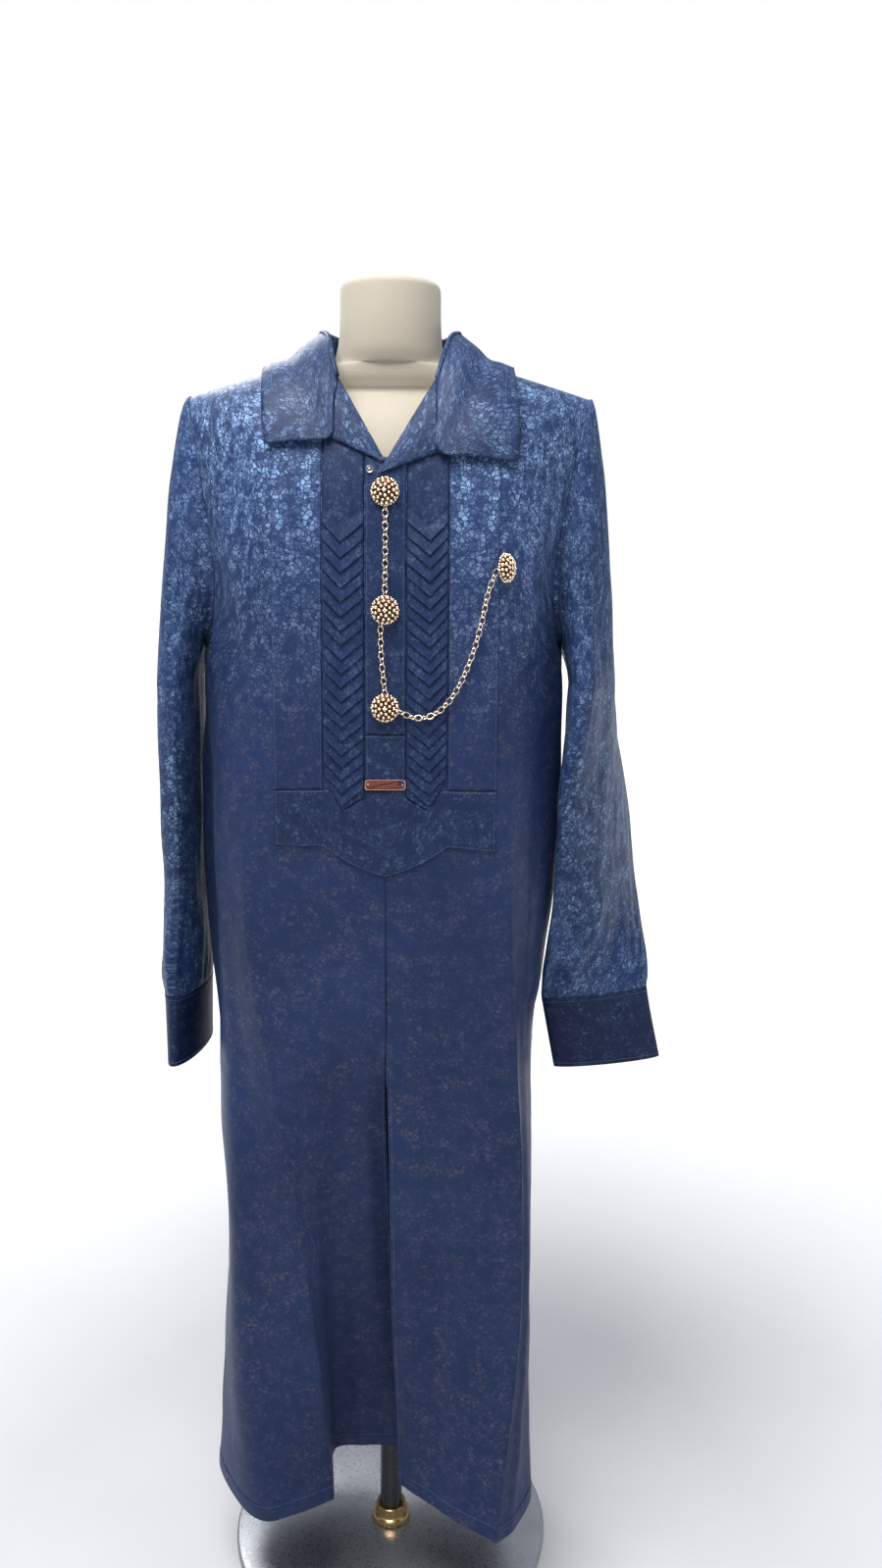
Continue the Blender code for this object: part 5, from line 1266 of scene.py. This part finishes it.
def new_tree(name, inputs):
    """Geometry tree with a geometry in and out and named sizes."""
    tree = bpy.data.node_groups.new(name, "GeometryNodeTree")
    tree.interface.new_socket("Geometry", in_out="INPUT", socket_type="NodeSocketGeometry")
    tree.interface.new_socket("Geometry", in_out="OUTPUT", socket_type="NodeSocketGeometry")
    for label in inputs:
        tree.interface.new_socket(label, in_out="INPUT", socket_type="NodeSocketFloat")
    return tree, tree.nodes.new("NodeGroupInput"), tree.nodes.new("NodeGroupOutput")


def grown(carrier, tree, sizes):
    """Plain mesh that a geometry tree makes on its carrier, which is then removed."""
    grower = carrier.modifiers.new("grow", "NODES")
    grower.node_group = tree
    names = {item.name: item.identifier for item in tree.interface.items_tree
             if item.in_out == "INPUT"}
    for label, value in sizes.items():
        grower[names[label]] = value
    seen = carrier.evaluated_get(bpy.context.evaluated_depsgraph_get())
    mesh = bpy.data.meshes.new_from_object(seen)
    carrier.modifiers.remove(grower)
    bpy.data.objects.remove(carrier, do_unlink=True)
    mesh.polygons.foreach_set("material_index", [0] * len(mesh.polygons))
    mesh.shade_smooth()
    return mesh


def finish_tree(tree, geometry, material, exit_node):
    real = add_node(tree, "GeometryNodeRealizeInstances", {"Geometry": geometry})
    finish = add_node(tree, "GeometryNodeSetMaterial", {"Geometry": real.outputs[0]})
    finish.inputs["Material"].default_value = material
    tree.links.new(finish.outputs[0], exit_node.inputs[0])


thread = worn_finish("blue_thread", (0.020, 0.055, 0.165), (0.030, 0.075, 0.210), 0.45, 0.0,
                     400.0, 0.00003)
thread.node_tree.nodes["Principled BSDF"].inputs["Sheen Weight"].default_value = 0.3

stitch_tree, source, result = new_tree("stitch_run", ("Pitch", "Length", "Thread radius"))
spaced = add_node(stitch_tree, "GeometryNodeResampleCurve", {
    "Curve": source.outputs["Geometry"], "Length": source.outputs["Pitch"]}, mode="LENGTH")
along = add_node(stitch_tree, "GeometryNodeInputTangent")
lie = add_node(stitch_tree, "FunctionNodeAlignEulerToVector", {"Vector": along.outputs[0]},
               axis="Z")
bead = add_node(stitch_tree, "GeometryNodeMeshCylinder", {
    "Vertices": 5, "Side Segments": 1, "Radius": source.outputs["Thread radius"],
    "Depth": source.outputs["Length"]}, fill_type="TRIANGLE_FAN")
sewn = add_node(stitch_tree, "GeometryNodeInstanceOnPoints", {
    "Points": spaced.outputs[0], "Instance": bead.outputs["Mesh"], "Rotation": lie.outputs[0]})
finish_tree(stitch_tree, sewn.outputs[0], thread, result)


def stitch_run(name, routes, slot="bib_cloth"):
    """Piece of even stitches along lines on the cloth."""
    mesh = grown(path_object(name + "_path", routes), stitch_tree, {
        "Pitch": STITCH_PITCH, "Length": STITCH_LENGTH, "Thread radius": THREAD_RADIUS})
    return new_piece(name, mesh, thread, slot)


def upright_run(x, z_low, z_high, lift, count=120):
    return front_point(np.full(count, x), np.linspace(z_low, z_high, count), lift)


stitch_lift = 0.0001
routes = []
for side in (-1.0, 1.0):
    routes.append(upright_run(side * (PLACKET_HALF - 0.0018), PLACKET_SEAM_Z + 0.002,
                              V_BOTTOM_Z - 0.012, PLACKET_LIFT + stitch_lift))
    routes.append(upright_run(side * (PLACKET_HALF - 0.0018), BAR_Z + 0.007, PLACKET_SEAM_Z - 0.001,
                              BIB_LIFT + 0.0002 + stitch_lift, 40))
    for distance, low in ((PLEAT_OUTER + 0.0022, BAND_TOP_Z + 0.002),
                          (BIB_HALF - 0.0020, BAND_TOP_Z + 0.002)):
        high = float(lapel_edge(side, np.array(distance))) - 0.004
        routes.append(upright_run(side * distance, low, high, BIB_LIFT + stitch_lift))
    inset = np.linspace(PLEAT_OUTER + 0.003, BIB_HALF - 0.002, 40)
    routes.append(front_point(side * inset, BAND_TOP_Z - 0.0022, BIB_LIFT + stitch_lift))
    edge_x = np.full(40, side * (BIB_HALF - 0.0022))
    edge_z = np.linspace(BAND_CORNER_Z[side] + 0.003, BAND_TOP_Z - 0.003, 40)
    routes.append(front_point(edge_x, edge_z, BIB_LIFT + stitch_lift))
low_x = np.linspace(-BIB_HALF + 0.002, BIB_HALF - 0.002, 160)
routes.append(front_point(low_x, band_bottom(low_x) + 0.0024, BIB_LIFT + stitch_lift))
cross_x = np.linspace(-PLACKET_HALF + 0.001, PLACKET_HALF - 0.001, 20)
routes.append(front_point(cross_x, PLACKET_SEAM_Z - 0.0022, BIB_LIFT + 0.0002 + stitch_lift))
stitch_run("bib_stitches", routes)

routes = [(skin + collar_out * (COLLAR_RISE + stitch_lift))[3:-3, -4]]
for side, grid in lapel_edges.items():
    lifted = grid + grid_normals(grid) * np.sign(-grid_normals(grid)[:, :, 1:2]) * stitch_lift
    routes.append(lifted[2:-1, -3])
stitch_run("collar_stitches", routes, "jacquard")

routes = []
for cuff, out in ((right_cuff, right_out), (left_cuff, left_out)):
    loop = cuff + unit(out, 2) * stitch_lift
    for row in (1, CUFF_ROWS - 2):
        routes.append(np.concatenate([loop[row], loop[row, :1]]))
stitch_run("cuff_stitches", routes, "jacquard")


def skirt_line(places, heights):
    """Line on the skirt a hair above the cloth."""
    level = heights - ARMPIT_Z
    return surface(places, level) + cloth_normal(places, level) * (HEM_RISE + stitch_lift)


routes = []
for low, high in ((0.06, 4.94), (5.5, 10.5), (11.06, 15.94)):
    places = np.linspace(low, high, 260)
    routes.append(skirt_line(places, read_table(HEM, "z", places) + HEM_DEPTH - 0.002))
for place, top in ((4.80, VENT_TOPS[-1.0]), (11.20, VENT_TOPS[1.0]), (0.12, SLIT_TOP_Z),
                   (15.88, SLIT_TOP_Z)):
    hem = float(read_table(HEM, "z", np.array([place]))[0])
    heights = np.linspace(hem + 0.004, top, 160)
    routes.append(skirt_line(np.full(160, place), heights))
stitch_run("hem_stitches", routes, "jacquard")


# Studs: four cast domes set all over with small grains in rings, a larger one at the middle,
# over a plain rim. Three close the placket by their shanks, the fourth is pinned to the chest.

STUD_RADIUS = 0.0135
STUD_HEIGHT = 0.0095
STUD_RIM = 0.0022
STUD_HEIGHTS = (1.180, 1.073, 0.982)
PINNED_STUD = (0.1075, 1.1115)
PINNED_STUD_TURN = 46.0
PINNED_STUD_LIFT = 0.0073
GRAIN_RADIUS = 0.00125
GRAIN_RINGS = ((1.0, 0.0028, 1.0), (23.0, 0.0043, 1.4), (46.0, 0.0046, 1.45), (66.0, 0.0046, 1.4),
               (83.0, 0.0060, 0.8))
STUD_LIFT = 0.0027


def seat(x, z, lift, turn=0.0):
    """Placing of a small fitting whose own +Z points away from the cloth."""
    spots = front_point(np.array([x, x + 0.004, x - 0.004, x, x]),
                        np.array([z, z, z, z + 0.004, z - 0.004]), lift)
    spot, east, west, north, south = (Vector(p) for p in spots)
    right = (east - west).normalized()
    up = north - south
    up = (up - right * up.dot(right)).normalized()
    frame_at = Matrix((right, up, right.cross(up))).transposed().to_4x4()
    return Matrix.Translation(spot) @ frame_at @ Matrix.Rotation(math.radians(turn), 4, "Y")


pale_gold = worn_finish("pale_gold", (0.97, 0.79, 0.60), (0.86, 0.66, 0.47),
                        0.16, 1.0, 500.0, 0.00003)
# Painted shade: the dome under the grains is near-black gold, for the shade that falls between the
# grains.
painted_shade_gold = worn_finish("painted_shade_gold", (0.045, 0.024, 0.013), (0.07, 0.04, 0.022),
                        0.45, 1.0, 500.0, 0.00003)

grain_tree, source, result = new_tree("stud_grains", ("Grain radius",))
ball = add_node(grain_tree, "GeometryNodeMeshIcoSphere", {
    "Radius": source.outputs["Grain radius"], "Subdivisions": 2})
points = add_node(grain_tree, "GeometryNodeMeshToPoints", {"Mesh": source.outputs["Geometry"]})
size = add_node(grain_tree, "FunctionNodeRandomValue", {2: 0.82, 3: 1.12, "Seed": 7},
                data_type="FLOAT")
grains = add_node(grain_tree, "GeometryNodeInstanceOnPoints", {
    "Points": points.outputs[0], "Instance": ball.outputs[0]})
ring_size = add_node(grain_tree, "GeometryNodeInputNamedAttribute", {"Name": "grain_size"})
grain_tree.links.new(compute(grain_tree, "MULTIPLY", size.outputs[1], ring_size.outputs[0]),
                     grains.inputs["Scale"])
finish_tree(grain_tree, grains.outputs[0], pale_gold, result)


def dome_grains():
    """Places and sizes of the grains: small ones round the rim, larger ones in rings above."""
    spots = [(0.0, 0.0, STUD_HEIGHT)]
    sizes = [1.3]
    for number, (tilt, spacing, size) in enumerate(GRAIN_RINGS):
        angle = math.radians(tilt)
        radius = (STUD_RADIUS - 0.0009) * math.cos(angle)
        z = STUD_RIM + (STUD_HEIGHT - STUD_RIM) * math.sin(angle)
        count = max(4, int(2.0 * math.pi * radius / spacing))
        for k in range(count):
            turn = 2.0 * math.pi * (k + 0.5 * (number % 2)) / count
            spots.append((radius * math.cos(turn), radius * math.sin(turn), z))
            sizes.append(size)
    return spots, sizes


def make_stud(number, placing, slot="stud_metal"):
    back = STUD_RADIUS * 0.80
    rings = [(0.0, back * 0.98, back * 0.98), (0.0006, back * 1.08, back * 1.08),
             (STUD_RIM * 0.8, STUD_RADIUS * 0.95, STUD_RADIUS * 0.95)]
    for step in range(9):
        angle = math.radians(step * 10.5)
        radius = (STUD_RADIUS - 0.0016) * math.cos(angle)
        height = STUD_RIM + (STUD_HEIGHT - STUD_RIM - 0.0014) * math.sin(angle)
        rings.append((height, radius, radius))
    dome = turned(f"stud_dome_{number}", rings, 48)
    carrier_mesh = bpy.data.meshes.new("grain_spots")
    spots, sizes = dome_grains()
    carrier_mesh.from_pydata(spots, [], [])
    carrier_mesh.attributes.new("grain_size", "FLOAT", "POINT").data.foreach_set("value", sizes)
    carrier = placed("grain_spots", carrier_mesh)
    grain_mesh = grown(carrier, grain_tree, {"Grain radius": GRAIN_RADIUS})
    both = bmesh.new()
    both.from_mesh(dome)
    # The dome takes the near-black gold: painted shade between the grains.
    for face in both.faces:
        face.material_index = 1
    both.from_mesh(grain_mesh)
    shank = bmesh.ops.create_cone(both, cap_ends=True, segments=16, radius1=0.0022, radius2=0.0022,
                                  depth=0.0024)
    bmesh.ops.translate(both, vec=(0.0, 0.0, -0.0011), verts=shank["verts"])
    mesh = bpy.data.meshes.new(f"dome_stud_{number}")
    both.to_mesh(mesh)
    both.free()
    mesh.transform(placing)
    mesh.shade_smooth()
    new_piece(f"dome_stud_{number}", mesh, pale_gold, slot, f"stud_{number}")
    mesh.materials.append(painted_shade_gold)


for number, height in enumerate(STUD_HEIGHTS, start=1):
    make_stud(number, seat(0.0, height, STUD_LIFT))
make_stud(4, seat(*PINNED_STUD, PINNED_STUD_LIFT, PINNED_STUD_TURN))


# Chains: oval wire links, each turned a quarter round from the last, hooked to the studs' rims.
# Two short lengths hang between the placket studs and a long one swags to the pinned stud.

LINK_PITCH = 0.0056
LINK_LENGTH = 0.0074
LINK_WIDTH = 0.0056
LINK_WIRE = 0.00056
SWAG = ((0.0150, 0.9780), (0.0280, 0.9730), (0.0440, 0.9750), (0.0580, 0.9860), (0.0690, 1.0020),
        (0.0785, 1.0230), (0.0860, 1.0465), (0.0915, 1.0700), (0.0955, 1.0900), (0.1015, 1.1075))
CHAIN_LIFT = 0.0057
SWAG_LIFT = 0.0066

link_tree, source, result = new_tree(
    "chain_links", ("Pitch", "Link length", "Link width", "Wire radius"))
spaced = add_node(link_tree, "GeometryNodeResampleCurve", {
    "Curve": source.outputs["Geometry"], "Length": source.outputs["Pitch"]}, mode="LENGTH")
oval = add_node(link_tree, "GeometryNodeCurvePrimitiveCircle", {"Resolution": 14, "Radius": 0.5})
stretch = add_node(link_tree, "ShaderNodeCombineXYZ", {
    "X": source.outputs["Link length"], "Y": source.outputs["Link width"], "Z": 1.0})
shaped = add_node(link_tree, "GeometryNodeTransform", {
    "Geometry": oval.outputs["Curve"], "Scale": stretch.outputs[0]})
wire = add_node(link_tree, "GeometryNodeCurvePrimitiveCircle", {
    "Resolution": 6, "Radius": source.outputs["Wire radius"]})
link = add_node(link_tree, "GeometryNodeCurveToMesh", {
    "Curve": shaped.outputs[0], "Profile Curve": wire.outputs["Curve"]})
along = add_node(link_tree, "GeometryNodeInputTangent")
lie = add_node(link_tree, "FunctionNodeAlignEulerToVector", {"Vector": along.outputs[0]}, axis="X")
strung = add_node(link_tree, "GeometryNodeInstanceOnPoints", {
    "Points": spaced.outputs[0], "Instance": link.outputs[0], "Rotation": lie.outputs[0]})
index = add_node(link_tree, "GeometryNodeInputIndex")
odd = compute(link_tree, "MODULO", index.outputs[0], 2.0)
quarter = compute(link_tree, "MULTIPLY_ADD", odd, math.radians(90.0), -0.6)
roll = add_node(link_tree, "ShaderNodeCombineXYZ", {"X": quarter})
rolled = add_node(link_tree, "GeometryNodeRotateInstances", {
    "Instances": strung.outputs[0], "Rotation": roll.outputs[0]})
finish_tree(link_tree, rolled.outputs[0], pale_gold, result)


def make_chain(number, points, lift):
    flat = smooth_through(points, 12)
    route = front_point(flat[:, 0], flat[:, 1], lift)
    mesh = grown(path_object(f"chain_path_{number}", [route]), link_tree, {
        "Pitch": LINK_PITCH, "Link length": LINK_LENGTH, "Link width": LINK_WIDTH,
        "Wire radius": LINK_WIRE})
    return new_piece(f"link_chain_{number}", mesh, pale_gold, "stud_metal", f"chain_{number}")


hook = STUD_RADIUS + 0.0004
make_chain(1, ((0.0, STUD_HEIGHTS[0] - hook), (0.0003, 1.126), (0.0, STUD_HEIGHTS[1] + hook)),
           CHAIN_LIFT)
make_chain(2, ((-0.0042, STUD_HEIGHTS[1] - hook + 0.0016), (-0.0034, 1.030),
               (0.0, STUD_HEIGHTS[2] + hook)), CHAIN_LIFT)
make_chain(3, SWAG, SWAG_LIFT)


# Collar snap: two small silver rings of a press snap, closed on the placket beside the V.
# The end bar is a copper-plated frame with a bare inset and a rivet at each end.

silver = worn_finish("silver_snap", (0.24, 0.24, 0.25), (0.18, 0.18, 0.19),
                     0.36, 1.0, 300.0, 0.00002)
snap = turned("press_snap", (
    (0.0, 0.0030, 0.0030), (0.0005, 0.0036, 0.0036), (0.0010, 0.0036, 0.0036),
    (0.0013, 0.0031, 0.0031), (0.0009, 0.0024, 0.0024), (0.0008, 0.0016, 0.0016),
    (0.0015, 0.0013, 0.0013), (0.0018, 0.0008, 0.0008)), 40)
snap.transform(seat(-0.0148, 1.2000, STUD_LIFT))
new_piece("press_snap", snap, silver, "snap_metal", "collar_snap")

copper = worn_finish("copper_bar", (0.50, 0.30, 0.21), (0.42, 0.23, 0.15),
                     0.28, 1.0, 260.0, 0.00003)
dark_inset = worn_finish("bar_inset", (0.13, 0.034, 0.026), (0.19, 0.055, 0.040), 0.34, 0.6, 320.0,
                         0.00002)
width, height, depth = BAR_SIZE
bar = bmesh.new()
bmesh.ops.create_cube(bar, size=1.0)
bmesh.ops.scale(bar, vec=(width, height, depth), verts=bar.verts)
bmesh.ops.translate(bar, vec=(0.0, 0.0, depth / 2.0), verts=bar.verts)
uprights = [e for e in bar.edges if abs(e.verts[0].co.z - e.verts[1].co.z) > depth / 2.0]
bmesh.ops.bevel(bar, geom=uprights, offset=0.0012, segments=4, affect="EDGES")
top = max(bar.faces, key=lambda face: face.calc_center_median().z)
bmesh.ops.inset_region(bar, faces=[top], thickness=0.0010, depth=0.0)
bmesh.ops.inset_region(bar, faces=[top], thickness=0.0003, depth=-0.0005)
top.material_index = 1
for end in (-1.0, 1.0):
    rivet = bmesh.ops.create_uvsphere(bar, u_segments=16, v_segments=8, radius=0.0011)
    bmesh.ops.scale(bar, vec=(1.0, 1.0, 0.6), verts=rivet["verts"])
    bmesh.ops.translate(bar, vec=(end * (width / 2.0 - 0.0030), 0.0, depth - 0.0004),
                        verts=rivet["verts"])
mesh = bpy.data.meshes.new("placket_bar")
bar.to_mesh(mesh)
bar.free()
mesh.transform(seat(0.0, BAR_Z, BIB_LIFT))
mesh.shade_smooth()
mesh.set_sharp_from_angle(angle=math.radians(30))
piece = new_piece("placket_bar", mesh, copper, "bar_metal", "end_bar")
mesh.materials.append(dark_inset)


# Studio: a pale floor under a white sky, a broad soft light above the front, and the camera of
# the photograph, a little to the right of the middle and looking down by ten degrees.

floor_mesh = bpy.data.meshes.new("studio_floor")
floor_mesh.from_pydata([(-40.0, -40.0, -0.0004), (40.0, -40.0, -0.0004), (40.0, 40.0, -0.0004),
                        (-40.0, 40.0, -0.0004)], [], [(0, 1, 2, 3)])
glowing_floor_paper = worn_finish("glowing_floor_paper", (0.60, 0.60, 0.605), (0.57, 0.57, 0.575),
                          0.8, 0.0, 2.0, 0.0001)
floor_mesh.materials.append(glowing_floor_paper)
paper = glowing_floor_paper.node_tree
shader = paper.nodes["Principled BSDF"]
shader.inputs["Emission Color"].default_value = (1.0, 1.0, 1.0, 1.0)
# Painted light: the floor glows white from 0.45 m out from the stand. The glow blends the floor
# into the white backdrop and lights the cloth from below.
reach = add_node(paper, "ShaderNodeVectorMath", {
    0: add_node(paper, "ShaderNodeTexCoord").outputs["Object"]}, operation="LENGTH")
paper.links.new(spread(paper, reach.outputs["Value"], 0.45, 2.4, 0.0, 0.97),
                shader.inputs["Emission Strength"])
placed("studio_floor", floor_mesh)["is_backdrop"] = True

world = bpy.data.worlds.new("studio_sky")
bpy.context.scene.world = world
world.use_nodes = True
sky = world.node_tree
lit_sky = sky.nodes["Background"]
height_of = add_node(sky, "ShaderNodeSeparateXYZ", {
    "Vector": add_node(sky, "ShaderNodeTexCoord").outputs["Generated"]})
shade = spread(sky, height_of.outputs["Z"], 0.0, 0.9)
sky.links.new(blend_colors(sky, shade, (0.14, 0.15, 0.18, 1.0), (0.60, 0.63, 0.70, 1.0)),
              lit_sky.inputs["Color"])
backdrop = add_node(sky, "ShaderNodeBackground", {"Color": (1.0, 1.0, 1.0, 1.0)})
seen = add_node(sky, "ShaderNodeLightPath")
both = add_node(sky, "ShaderNodeMixShader", {0: seen.outputs["Is Camera Ray"]})
sky.links.new(lit_sky.outputs[0], both.inputs[1])
sky.links.new(backdrop.outputs[0], both.inputs[2])
sky.links.new(both.outputs[0], sky.nodes["World Output"].inputs["Surface"])


def soft_light(name, place, target, size, power):
    data = bpy.data.lights.new(name, "AREA")
    data.shape = "RECTANGLE"
    data.size, data.size_y = size
    data.energy = power
    lamp = placed(name, data)
    lamp.location = place
    lamp.rotation_euler = (Vector(target) - Vector(place)).to_track_quat("-Z", "Y").to_euler()


soft_light("ceiling_panel", (-0.40, -0.75, 2.75), (0.0, -0.05, 1.15), (1.3, 0.8), 68.0)
soft_light("right_panel", (1.6, -0.9, 2.2), (0.15, 0.0, 1.0), (0.6, 0.9), 5.0)
soft_light("rear_panel", (-0.8, 1.8, 2.6), (0.0, 0.0, 1.1), (1.2, 0.8), 30.0)

FOCAL_PIXELS = 1200.0
LONG_SIDE_PIXELS = 1599.0
camera_data = bpy.data.cameras.new("photo_camera")
camera_data.sensor_width = 36.0
camera_data.sensor_fit = "AUTO"
camera_data.lens = camera_data.sensor_width * FOCAL_PIXELS / LONG_SIDE_PIXELS
camera = placed("photo_camera", camera_data)
camera.location = (0.053, -1.224, 1.104)
camera.rotation_euler = (Matrix.Rotation(math.radians(80.0), 4, "X")
                         @ Matrix.Rotation(math.radians(0.4), 4, "Z")).to_euler()
bpy.context.scene.camera = camera
bpy.context.scene.view_settings.view_transform = "Standard"

low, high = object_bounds()
